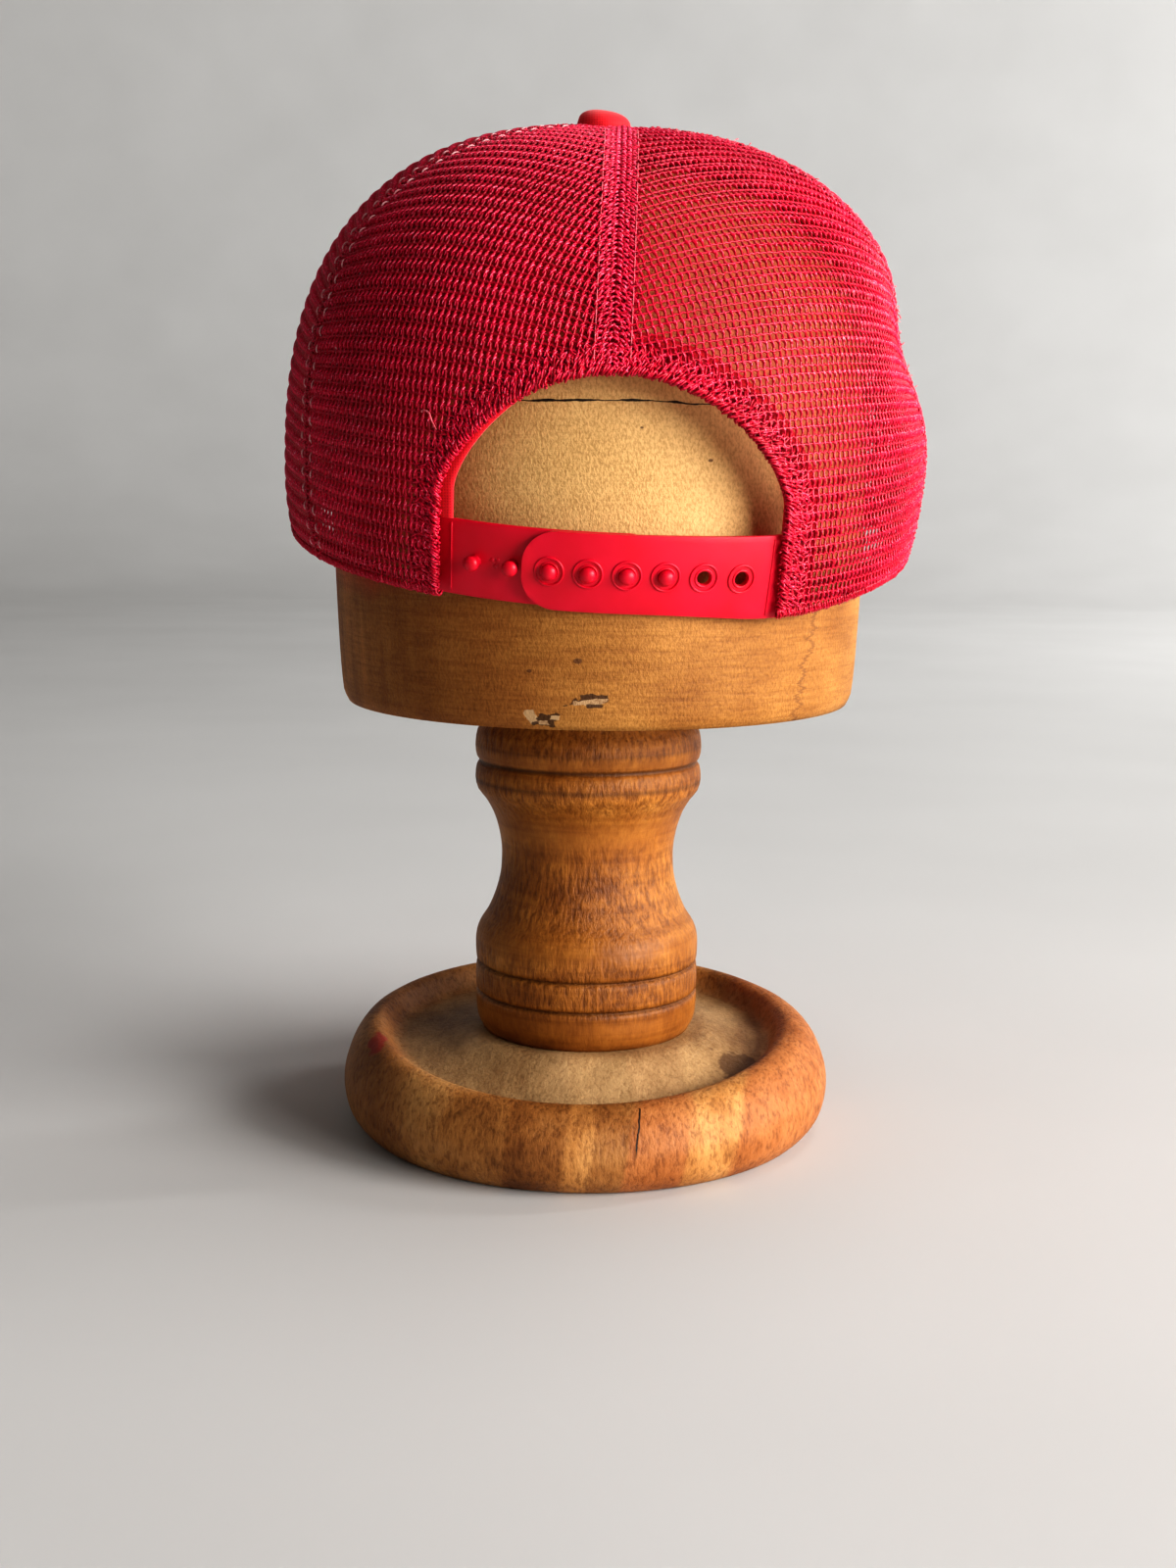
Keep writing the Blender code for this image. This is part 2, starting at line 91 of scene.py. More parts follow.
# The arch and the strap
ARCH_CENTRE = 0.0025    # how far to the right of the cap's middle
ARCH_HALF_WIDTH = 0.0452
ARCH_STRAIGHT = 0.0280  # height of the upright sides
ARCH_HEIGHT = 0.0604
ARCH_PEAK = 1.4
ARCH_LEFT = ARCH_CENTRE - ARCH_HALF_WIDTH
ARCH_RIGHT = ARCH_CENTRE + ARCH_HALF_WIDTH
LINING_DEPTH = MESH_WALL * 1.08 + LINING_GAP    # how far in the binding and the strap lie
TAPE_WIDTH = 0.0100
TAPE_THICKNESS = 0.0008
TAPE_PEEK = 0.0026      # how far the binding shows at the arch's lower left
SAG = 0.0026            # how far the rim hangs down at the arch's right foot
STRAP_HEIGHT = 0.0218
STRAP_RISE = -0.0012    # the strap's lower edge, above the rim
STRAP_THICKNESS = 0.0015
STRAP_TUCK = 0.0110
TONGUE_REACH = 0.0685
PEG_TAB_REACH = 0.0590
PEG_COUNT = 6
PEG_PITCH = 0.0103
FIRST_PEG = 0.0085
PEG_RADIUS = 0.0015
PEG_HEAD_RADIUS = 0.0020
PEG_HEAD_HEIGHT = 0.0012
HOLE_RADIUS = 0.0019
FIRST_HOLE = 0.0066
TAB_CORNER = 0.0090

# The brim and the button
BRIM_LENGTH = 0.068
BRIM_HALF_WIDTH = CROWN_HALF_WIDTH - 0.0046
BRIM_THICKNESS = 0.0028
BRIM_DROOP = 0.0120
BRIM_SLOPE = math.radians(6.0)
BRIM_SQUARENESS = 2.6
BUTTON_RADIUS = 0.0075
BUTTON_HEIGHT = 0.0056
BUTTON_SHIFT = -0.0046  # the cloth button sits to the left of the crown's middle
BUTTON_SINK = 0.0007
BUTTON_TILT = math.radians(6.0)
STITCH_INSET = 0.0045   # the brim's outer row of stitches, from its edge
STITCH_SPACING = 0.0068

# A loose thread on the left panel, across and height on the back wall
LOOSE_THREAD = np.array([-0.0475, 0.0470])

# The block's open joint, seen in the arch
JOINT_HEIGHT = 0.2222

# The knit
COLUMN_PITCH = 0.00192
TALL_ROW = 0.0025       # from a thin course up to the next ridge
SHORT_ROW = 0.0020      # from a ridge up to the next thin course
RIDGE_RADIUS = 0.00036
THIN_RADIUS = 0.00034
WALE_RADIUS = 0.00038
YARN_SIDES = 4
FIRST_ROW = 0.0006      # the lowest row above the rim
LEVEL_REACH = 0.045     # up to this height the rows turn from level to square to the panel
SEAM_FOLD = 0.0067      # half width of the folded cloth at the centre seam
SIDE_FOLD = 0.0052
HEM_WIDTH = 0.0090
FOOT_FOLD = (0.0165, 0.034)     # width and height of the doubled cloth at the arch's right foot
YARN_DEPTH = 0.0004     # how far in the middle of the yarn lies
UNDER_LAYER = 0.0009    # how far in the folded cloth lies
LOOP_RADIUS = 0.00021   # the raised loops that catch the light; their paler yarn is a painted highlight


# Small helpers

def piece_of(name, shape, material, nodes=(), place=CAP_FRAME):
    """A piece of the object from a shape, which is its points and its faces."""
    points, faces = shape
    mesh = bpy.data.meshes.new(name)
    mesh.from_pydata(np.asarray(points).tolist(), [], faces)
    mesh.validate()
    mesh.materials.append(material)
    mesh.shade_smooth()
    dress(name, mesh, nodes, place)


def dress(name, mesh, nodes=(), place=CAP_FRAME):
    """Places a mesh as a piece that rides on the object's one body."""
    mesh.transform(place)
    piece = placed(name, mesh)
    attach(piece, "root")
    if nodes:
        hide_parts(*nodes)


def placed(name, data):
    """An object for a mesh, a light or a camera, in the scene's collection."""
    item = bpy.data.objects.new(name, data)
    bpy.context.scene.collection.objects.link(item)
    return item


def unit(vectors):
    """The vectors at a length of 1."""
    return vectors / np.maximum(np.linalg.norm(vectors, axis=-1, keepdims=True), 1e-12)


def run(points):
    """The length along a line of points, up to each of them."""
    steps = np.linalg.norm(np.diff(points, axis=0), axis=1)
    return np.concatenate(([0.0], np.cumsum(steps)))


def along_line(where, length, values):
    """The values of a line at the given lengths along it."""
    return np.stack([np.interp(where, length, values[:, k]) for k in range(3)], -1)


def join(parts):
    """One shape from several."""
    points, faces, base = [], [], 0
    for part_points, part_faces in parts:
        points.append(part_points)
        faces += [[base + k for k in face] for face in part_faces]
        base += len(part_points)
    return np.concatenate(points), faces


def tubes(points, normals, radius, keep=None, sides=YARN_SIDES):
    """Capped tubes along lines of points: arrays (lines, samples, 3)."""
    lines, samples = points.shape[:2]
    if keep is None:
        keep = np.ones((lines, samples), bool)
    radius = np.broadcast_to(radius, (lines, samples))
    along = unit(np.gradient(points, axis=1))
    side = unit(np.cross(along, normals))
    out = unit(np.cross(side, along))
    turn = 2.0 * math.pi * np.arange(sides) / sides
    ring = np.cos(turn)[:, None] * side[:, :, None, :] + np.sin(turn)[:, None] * out[:, :, None, :]
    rings = points[:, :, None, :] + radius[:, :, None, None] * ring
    number = np.arange(lines * samples).reshape(lines, samples)
    linked = keep[:, :-1] & keep[:, 1:]
    low = number[:, :-1][linked] * sides
    high = number[:, 1:][linked] * sides
    faces = []
    for k in range(sides):
        after = (k + 1) % sides
        faces.append(np.stack([low + k, low + after, high + after, high + k], 1))
    faces = np.concatenate(faces).tolist()
    before = np.zeros((lines, samples), bool)
    before[:, 1:] = linked
    following = np.zeros((lines, samples), bool)
    following[:, :-1] = linked
    starts = number[following & ~before] * sides
    ends = number[before & ~following] * sides
    faces += [[s + k for k in reversed(range(sides))] for s in starts.tolist()]
    faces += [[e + k for k in range(sides)] for e in ends.tolist()]
    used = np.repeat((before | following).ravel(), sides)
    new_number = np.cumsum(used) - 1
    faces = [[int(new_number[k]) for k in face] for face in faces]
    return rings.reshape(-1, 3)[used], faces


# The crown's surface, for arrays of azimuth and rise

def plan_radius(azimuth):
    across = np.sin(azimuth) / CROWN_HALF_WIDTH
    along = np.cos(azimuth) / np.where(np.cos(azimuth) > 0, CROWN_BACK, CROWN_FRONT)
    return 1.0 / np.hypot(across, along)


def fullness(azimuth):
    end = np.where(np.cos(azimuth) > 0, BACK_FULLNESS, FRONT_FULLNESS)
    return end + (SIDE_FULLNESS - end) * np.sin(azimuth) ** 2


def dent_depth(azimuth, height):
    depth = np.zeros(np.shape(azimuth))
    for centre, rise, share, turn_spread, rise_spread in DENTS:
        turn = (np.degrees(azimuth) - centre) / turn_spread
        lift = (height / CROWN_HEIGHT - rise) / rise_spread
        depth = depth + share * CROWN_HALF_WIDTH * np.exp(-0.5 * (turn * turn + lift * lift))
    return depth


def crown_radius(azimuth, height):
    radius = plan_radius(azimuth)
    power = fullness(azimuth)
    tuck = np.clip((WALL_BAND - height) / WALL_BAND, 0.0, None)
    rise = np.clip((height - WALL_BAND) / DOME_HEIGHT, 0.0, 1.0)
    return radius * (1.0 - rise ** power) ** (1.0 / power) - RIM_TUCK * tuck * tuck


def crown(azimuth, rise):
    """Points on the crown's outer face; rise runs from 0 at the rim to 1 at the top."""
    azimuth, rise = np.broadcast_arrays(np.asarray(azimuth, float), np.asarray(rise, float))
    plan = plan_radius(azimuth)
    power = fullness(azimuth)
    band_height = WALL_BAND * rise / WALL_SHARE
    tuck = np.clip((WALL_BAND - band_height) / WALL_BAND, 0.0, None)
    top_angle = np.arccos((CROWN_TOP_HOLE / plan) ** (power / 2.0))
    angle = top_angle * np.clip((rise - WALL_SHARE) / (1.0 - WALL_SHARE), 0.0, 1.0)
    radius = plan * np.cos(angle) ** (2.0 / power) - RIM_TUCK * tuck * tuck
    dome = WALL_BAND + DOME_HEIGHT * np.sin(angle) ** (2.0 / power)
    height = np.where(rise < WALL_SHARE, band_height, dome)
    radius = radius - dent_depth(azimuth, height) * np.minimum(1.0, radius / (0.5 * CROWN_HALF_WIDTH))
    points = np.stack([radius * np.sin(azimuth), -radius * np.cos(azimuth), height], -1)
    points[..., 2] -= sag(points)
    return points


def sag(points):
    """How far the soft cloth hangs down beside the arch's right foot."""
    middle, spread, height = 0.050, 0.022, 0.050
    turn = (points[..., 0] - middle) / spread
    share = np.clip(1.0 - points[..., 2] / height, 0.0, 1.0)
    return SAG * np.exp(-turn * turn) * share * share * (points[..., 1] < 0.0)


def crown_normal(azimuth, rise):
    """The outward direction of the crown's face."""
    step = 2e-3
    low = np.clip(rise - step, 0.0, 1.0)
    high = np.clip(rise + step, 0.0, 1.0)
    turn = crown(azimuth + step, rise) - crown(azimuth - step, rise)
    climb = crown(azimuth, high) - crown(azimuth, low)
    return unit(np.cross(turn, climb))


def seam_azimuth(name, rise):
    """Where a seam runs, in radians, by rise."""
    low, high = SEAMS[name]
    share = np.minimum(1.0, np.asarray(rise) / 0.5)
    return np.radians(low + (high - low) * share)


def back_place(across, height, inset=0.0):
    """Points and normals on the back wall, by sideways place and height."""
    across, height = np.broadcast_arrays(np.asarray(across, float), np.asarray(height, float))

    def place(x, z):
        azimuth = np.zeros(x.shape)
        for _ in range(10):
            radius = crown_radius(azimuth, z)
            azimuth = np.arcsin(np.clip(x / radius, -0.999, 0.999))
        points = np.stack([x, -radius * np.cos(azimuth), z], -1)
        points[..., 2] -= sag(points)
        return points

    here = place(across, height)
    step = 4e-4
    side = place(across + step, height) - place(across - step, height)
    climb = place(across, height + step) - place(across, height - step)
    normals = unit(np.cross(side, climb))
    return here - np.asarray(inset)[..., None] * normals, normals


def arch_line(offset=0.0, steps=200):
    """The arch's curve (across, height), from its left side over the top to its right side."""
    turn = math.pi * (1.0 - np.arange(steps + 1) / steps)
    half = ARCH_HALF_WIDTH + offset
    rise = ARCH_HEIGHT - ARCH_STRAIGHT + offset
    lift = np.abs(np.sin(turn)) ** ARCH_PEAK
    return np.stack([ARCH_CENTRE + half * np.cos(turn), ARCH_STRAIGHT + rise * lift], 1)


def arch_edge(offset=0.0):
    """The whole edge of the opening, from the rim at the left to the rim at the right."""
    arch = arch_line(offset)
    foot = np.linspace(0.0, 1.0, 40)[:-1, None]
    left = np.hstack([np.full_like(foot, arch[0, 0]), ARCH_STRAIGHT * foot])
    right = np.hstack([np.full_like(foot, arch[-1, 0]), ARCH_STRAIGHT * foot])
    return np.concatenate([left, arch, right[::-1]])


def arch_distance(points):
    """How far points of the back wall lie outside the arch; less than 0 in the opening."""
    edge = arch_edge()
    flat = points[..., [0, 2]].reshape(-1, 1, 2)
    gap = np.sqrt(((flat - edge[None]) ** 2).sum(-1)).min(1).reshape(points.shape[:-1])
    across = (points[..., 0] - ARCH_CENTRE) / ARCH_HALF_WIDTH
    inside_width = np.abs(across) < 1.0
    sine = np.sqrt(np.clip(1.0 - across ** 2, 0.0, 1.0))
    top = ARCH_STRAIGHT + (ARCH_HEIGHT - ARCH_STRAIGHT) * sine ** ARCH_PEAK
    inside = inside_width & (points[..., 2] < top) & (points[..., 1] < 0.0)
    return np.where(inside, -gap, np.where(points[..., 1] < 0.0, gap, 1.0))


# The knit's layout

class Layout:
    """Rows and columns of knit on one panel, as azimuth and rise of every crossing.

    The middle column runs up the panel's middle. Each row lies in a plane square to it, and the
    columns are evenly spaced along every row, as in flat cloth rolled over the crown.
    """

    def __init__(self, left_seam, right_seam, shift=0.0):
        self.left_seam = left_seam
        self.right_seam = right_seam
        rise = np.linspace(0.0, 0.998, 500)
        middle = 0.5 * (seam_azimuth(left_seam, rise) + seam_azimuth(right_seam, rise))
        along = run(crown(middle, rise))
        period = TALL_ROW + SHORT_ROW
        places = []
        for k in range(int(along[-1] / period) + 1):
            ridge = FIRST_ROW + period * (k + shift)
            places += [ridge, ridge + SHORT_ROW]
        places = np.array([p for p in places if p < along[-1] - 0.0005])
        row_rise = np.interp(places, along, rise)
        row_middle = np.interp(row_rise, rise, middle)
        centre = crown(row_middle, row_rise)
        tangent = unit(crown(row_middle, np.minimum(row_rise + 2e-3, 1.0))
                       - crown(row_middle, np.maximum(row_rise - 2e-3, 0.0)))
        level = np.clip(1.0 - places / LEVEL_REACH, 0.0, 1.0)[:, None]
        level = level * level * (3.0 - 2.0 * level)
        tangent = unit(tangent * (1.0 - level) + np.array([0.0, 0.0, 1.0]) * level)
        half_turn = 0.5 * (seam_azimuth(right_seam, 0.2) - seam_azimuth(left_seam, 0.2)) + 0.25
        turns = np.linspace(-half_turn, half_turn, 121)
        azimuth = row_middle[:, None] + turns[None, :]
        low = np.zeros(azimuth.shape)
        high = np.full(azimuth.shape, 0.9995)
        for _ in range(24):
            half = 0.5 * (low + high)
            ahead = ((crown(azimuth, half) - centre[:, None]) * tangent[:, None]).sum(-1) > 0.0
            high = np.where(ahead, half, high)
            low = np.where(ahead, low, half)
        rises = 0.5 * (low + high)
        rows = crown(azimuth, rises)
        off = np.abs(((rows - centre[:, None]) * tangent[:, None]).sum(-1))
        steps = np.linalg.norm(np.diff(rows, axis=1), axis=2)
        lengths = np.concatenate([np.zeros((len(rows), 1)), np.cumsum(steps, axis=1)], 1)
        lengths -= lengths[:, [len(turns) // 2]]
        reach = int(np.abs(lengths).max() / COLUMN_PITCH) + 1
        columns = (np.arange(-reach, reach + 1) + shift) * COLUMN_PITCH
        self.azimuth = np.empty((len(rows), len(columns)))
        self.rise = np.empty_like(self.azimuth)
        for k in range(len(rows)):
            good = off[k] < 2e-4
            if good.sum() < 2:
                self.azimuth[k] = self.rise[k] = np.nan
                continue
            self.azimuth[k] = np.interp(columns, lengths[k][good], azimuth[k][good], np.nan, np.nan)
            self.rise[k] = np.interp(columns, lengths[k][good], rises[k][good], np.nan, np.nan)
        self.rows, self.columns = self.azimuth.shape

    def at(self, row, column):
        """Azimuth and rise at fractional rows and columns."""
        row, column = np.broadcast_arrays(row, column)
        row = np.clip(row, 0.0, self.rows - 1.001)
        column = np.clip(column, 0.0, self.columns - 1.001)
        i = row.astype(int)
        j = column.astype(int)
        u = row - i
        v = column - j
        found = []
        for grid in (self.azimuth, self.rise):
            found.append((1 - u) * ((1 - v) * grid[i, j] + v * grid[i, j + 1])
                         + u * ((1 - v) * grid[i + 1, j] + v * grid[i + 1, j + 1]))
        return found

    def seam_distance(self, azimuth, rise, points):
        """How far points lie from the panel's left and right seams."""
        around = np.hypot(points[..., 0], points[..., 1])
        left = (azimuth - seam_azimuth(self.left_seam, rise)) * around
        right = (seam_azimuth(self.right_seam, rise) - azimuth) * around
        return left, right


def yarns(layout, row, column, lift, radius, allowed):
    """Tubes along lines given in rows and columns of the layout."""
    azimuth, rise = layout.at(row, column)
    valid = np.isfinite(azimuth) & np.isfinite(rise)
    azimuth = np.where(valid, azimuth, 0.0)
    rise = np.where(valid, rise, 0.5)
    points = crown(azimuth, rise)
    normals = crown_normal(azimuth, rise)
    keep = valid & allowed(layout, azimuth, rise, points)
    points = points + np.broadcast_to(lift, points.shape[:-1])[..., None] * normals
    return tubes(points, normals, radius, keep)


def in_panel(layout, azimuth, rise, points):
    """Inside the panel's seams, above the rim and outside the arch."""
    left, right = layout.seam_distance(azimuth, rise, points)
    inside = (left > 0.0002) & (right > 0.0002) & (points[..., 2] + sag(points) > 0.0004)
    return inside & (arch_distance(points) > 0.0004)


def in_folds(layout, azimuth, rise, points):
    """Only the folded cloth along the seams, the rim and the arch."""
    left, right = layout.seam_distance(azimuth, rise, points)
    left_fold = SEAM_FOLD if layout.left_seam == "back" else SIDE_FOLD
    right_fold = SEAM_FOLD if layout.right_seam == "back" else SIDE_FOLD
    folds = (left < left_fold) | (right < right_fold)
    folds |= (points[..., 2] < HEM_WIDTH) | (arch_distance(points) < HEM_WIDTH)
    beside = (points[..., 0] > ARCH_RIGHT) & (points[..., 0] < ARCH_RIGHT + FOOT_FOLD[0])
    folds |= beside & (points[..., 2] < FOOT_FOLD[1])
    return folds & in_panel(layout, azimuth, rise, points)


def knit(layout, allowed, depth=0.0, fullness_share=1.0, wale_steps=3):
    """Ridges, thin courses and hooked wales of one layer of cloth."""
    wobble = 0.04
    columns = np.arange(0.0, layout.columns - 0.99, 0.5)
    rows = np.arange(layout.rows, dtype=float)
    ridge = (np.arange(layout.rows) % 2 == 0)[:, None]
    wave = np.cos(2.0 * math.pi * columns)[None, :]
    row = rows[:, None] + np.where(ridge, -0.07 * wave, -0.13 * wave)
    row = row + wobble * draws.standard_normal(row.shape)
    lift = np.where(ridge, 0.00020 + 0.00010 * wave, -0.00008 + 0.00004 * wave) - depth
    radius = np.where(ridge, RIDGE_RADIUS * (1.0 + 0.10 * wave), THIN_RADIUS * fullness_share)
    courses = yarns(layout, row, columns[None, :], lift - YARN_DEPTH, radius, allowed)

    rows = np.arange(0.0, layout.rows - 0.99, 1.0 / wale_steps)
    columns = np.arange(layout.columns, dtype=float)
    cycle = (0.5 * rows[None, :] + 0.12) % 1.0
    column = columns[:, None] + 0.30 * (cycle - 0.5)
    column = column + wobble * draws.standard_normal(column.shape)
    near_ridge = np.abs(np.cos(0.5 * math.pi * rows[None, :])) ** 3
    radius = WALE_RADIUS * (0.80 + 0.50 * near_ridge) * fullness_share
    lift = 0.00020 * near_ridge - YARN_DEPTH - depth
    wales = yarns(layout, rows[None, :], column, lift, radius, allowed)
    return join([courses, wales])


def loops(layout, lean):
    """A raised hooked loop over every crossing of a wale and a ridge."""
    shares = np.linspace(0.0, 1.0, 4)
    ridges, columns = np.meshgrid(np.arange(0.0, layout.rows - 1.0, 2.0),
                                  np.arange(1.0, layout.columns - 1.0), indexing="ij")
    count = ridges.size
    jitter = 0.05 * draws.standard_normal((count, 2))
    row = ridges.reshape(-1, 1) + jitter[:, :1] - 0.62 + 1.05 * shares
    hook = lean * (0.52 * shares ** 2 - 0.17)
    column = columns.reshape(-1, 1) + jitter[:, 1:] + hook
    row = np.maximum(row, 0.0)
    height = 0.00027 * np.sin(math.pi * np.clip(0.1 + 0.9 * shares, 0.0, 1.0)) ** 0.7 - 0.00008
    radius = LOOP_RADIUS * (0.65 + 0.45 * np.sin(math.pi * shares))
    return yarns(layout, row, column, np.broadcast_to(height, row.shape), radius, in_panel)


# Materials

WHITE = (1.0, 1.0, 1.0)
BLACK = (0.0, 0.0, 0.0)


def grey(level):
    return level, level, level


def connect(tree, socket, value):
    """Links a shader's value to a socket, or sets a plain number or colour on it."""
    if isinstance(value, Value):
        tree.links.new(value.socket, socket)
    elif socket.type == "RGBA":
        socket.default_value = (*value, 1.0)
    else:
        socket.default_value = value


class Value:
    """A value in a shader; arithmetic on it adds Math nodes. Lengths are in metres."""

    def __init__(self, tree, socket):
        self.tree = tree
        self.socket = socket

    def math(self, operation, second=0.0, first=None):
        node = self.tree.nodes.new("ShaderNodeMath")
        node.operation = operation
        connect(self.tree, node.inputs[0], self if first is None else first)
        connect(self.tree, node.inputs[1], second)
        return Value(self.tree, node.outputs[0])

    def __add__(self, other):
        return self.math("ADD", other)

    def __sub__(self, other):
        return self.math("SUBTRACT", other)

    def __rsub__(self, other):
        return self.math("SUBTRACT", self, other)

    def __mul__(self, other):
        return self.math("MULTIPLY", other)

    def __truediv__(self, other):
        return self.math("DIVIDE", other)

    def __abs__(self):
        return self.math("ABSOLUTE")

    def at_least(self, other):
        return self.math("MAXIMUM", other)

    def band(self, middle, half, edge):
        """1 within half of a place on this axis, fading to 0 over the edge."""
        share = (abs(self - middle) - half) / edge
        return 1.0 - share.at_least(0.0).math("MINIMUM", 1.0)


class Shader:
    """A material whose colour and relief are built from noise, ramps and arithmetic."""

    def __init__(self, name, roughness, **settings):
        self.material = bpy.data.materials.new(name)
        self.material.use_nodes = True
        self.tree = self.material.node_tree
        self.surface = self.tree.nodes["Principled BSDF"].inputs
        self.surface["Roughness"].default_value = roughness
        self.mappings = {}
        for socket, value in settings.items():
            self.surface[socket.replace("_", " ")].default_value = value

    def add(self, kind, output, **inputs):
        """A node's output; sockets are given in capitals and attributes in lower case."""
        node = self.tree.nodes.new(kind)
        for name, value in inputs.items():
            if name[0].islower():
                setattr(node, name, value)
            else:
                connect(self.tree, node.inputs[name], value)
        return Value(self.tree, node.outputs[output])

    def place(self):
        return self.add("ShaderNodeTexCoord", "Object")

    def axes(self):
        split = self.add("ShaderNodeSeparateXYZ", 0, Vector=self.place()).socket.node
        return [Value(self.tree, output) for output in split.outputs]

    def mapped(self, stretch=(1.0, 1.0, 1.0), turn=(0.0, 0.0, 0.0)):
        """The object's coordinates, stretched and turned."""
        if (stretch, turn) not in self.mappings:
            self.mappings[stretch, turn] = self.add("ShaderNodeMapping", 0, Vector=self.place(),
                                                    Scale=stretch, Rotation=turn)
        return self.mappings[stretch, turn]

    def noise(self, scale, detail=3.0, roughness=0.5, *mapping):
        """Noise from 0 to 1; mapping is a stretch and a turn of its coordinates."""
        return self.add("ShaderNodeTexNoise", "Fac", Vector=self.mapped(*mapping), Scale=scale,
                        Detail=detail, Roughness=roughness)

    def ramp(self, factor, *stops):
        """A colour ramp: stops are (position, (red, green, blue))."""
        colours = self.add("ShaderNodeValToRGB", 0)
        node = colours.socket.node
        connect(self.tree, node.inputs[0], factor)
        elements = node.color_ramp.elements
        for position, _ in stops[1:-1]:
            elements.new(position)
        for element, (position, colour) in zip(elements, stops):
            element.position = position
            element.color = (*colour, 1.0)
        return colours

    def mix(self, factor, first, second, blend="MIX"):
        node = self.tree.nodes.new("ShaderNodeMix")
        node.data_type = "RGBA"
        node.blend_type = blend
        for number, value in ((0, factor), (6, first), (7, second)):
            connect(self.tree, node.inputs[number], value)
        return Value(self.tree, node.outputs[2])

    def tint(self, first, second, factor=1.0):
        return self.mix(factor, first, second, "MULTIPLY")

    def spot(self, first, second, centre, size, ragged=None, edge=0.25):
        """1 inside an ellipse on two axes, 0 outside it, with a ragged edge."""
        across = (first - centre[0]) / size[0]
        along = (second - centre[1]) / size[1]
        far = (across * across + along * along).math("SQRT")
        if ragged is not None:
            far = far + (ragged - 0.5) * 1.6
        return self.ramp(far * 0.5, (0.5 - 0.5 * edge, WHITE), (0.5, BLACK))

    def shard(self, first, second, centre, size, lean, ragged):
        """1 inside a leaning four sided patch on two axes, with a ragged edge."""
        up = second - centre[1]
        side = first - centre[0] - up * lean
        far = (abs(side) / size[0]).at_least(abs(up) / size[1]) + (ragged - 0.5) * 1.8
        return self.ramp(far * 0.5, (0.44, WHITE), (0.5, BLACK))

    def done(self, colour, height, strength, distance):
        """The material, with its colour and its relief linked."""
        connect(self.tree, self.surface["Base Color"], colour)
        relief = self.add("ShaderNodeBump", 0, Height=height, Strength=strength, Distance=distance)
        connect(self.tree, self.surface["Normal"], relief)
        return self.material


def yarn_material(name, low, high, glint_colour, roughness):
    yarn = Shader(name, roughness, Sheen_Weight=0.10, Sheen_Roughness=0.35,
                  Sheen_Tint=(1.0, 0.40, 0.48, 1.0), Specular_IOR_Level=0.45)
    # The pale flecks are painted glints of the shiny fibres, mixed into the yarn's colour.
    fleck = yarn.noise(1500.0, 2.0)
    base = yarn.ramp(yarn.noise(60.0, 2.0), (0.3, low), (0.7, high))
    pale = yarn.ramp(fleck, (0.54, BLACK), (0.74, WHITE))
    return yarn.done(yarn.mix(pale, base, glint_colour), fleck, 0.35, 0.0002)


def thread_material(name, colour, pale):
    thread = Shader(name, 0.4, Sheen_Weight=0.3)
    twist = thread.noise(1800.0, 2.0)
    return thread.done(thread.ramp(twist, (0.35, colour), (0.7, pale)), twist, 0.3, 0.0001)


def cloth_material(name, colour, pale, weave=1900.0):
    """Plain woven cloth: two crossed sets of fine threads."""
    cloth = Shader(name, 0.72, Sheen_Weight=0.35, Sheen_Roughness=0.5, Sheen_Tint=(1.0, 0.5, 0.5, 1.0))
    warp, weft = [cloth.add("ShaderNodeTexWave", "Fac", Vector=cloth.mapped(), Scale=weave / 6.0,
                            Distortion=0.6, Detail=1.0, bands_direction=way) for way in "XZ"]
    threads = warp.at_least(weft)
    base = cloth.ramp(cloth.noise(45.0, 4.0), (0.3, colour), (0.75, pale))
    shade = cloth.ramp(threads, (0.0, grey(0.72)), (1.0, WHITE))
    return cloth.done(cloth.tint(base, shade), threads, 0.35, 0.0002)


def plastic_material():
    plastic = Shader("strap_plastic", 0.34, Subsurface_Weight=0.10, Subsurface_Scale=0.6,
                     Subsurface_Radius=(0.004, 0.0004, 0.0006), Specular_IOR_Level=0.42)
    cloud = plastic.noise(70.0, 3.0)
    colour = plastic.ramp(cloud, (0.3, (0.62, 0.0014, 0.022)), (0.75, (0.74, 0.0036, 0.040)))
    rough = plastic.ramp(cloud, (0.2, grey(0.36)), (0.8, grey(0.50)))
    connect(plastic.tree, plastic.surface["Roughness"], rough)
    return plastic.done(colour, plastic.noise(1400.0, 2.0), 0.12, 0.0001)


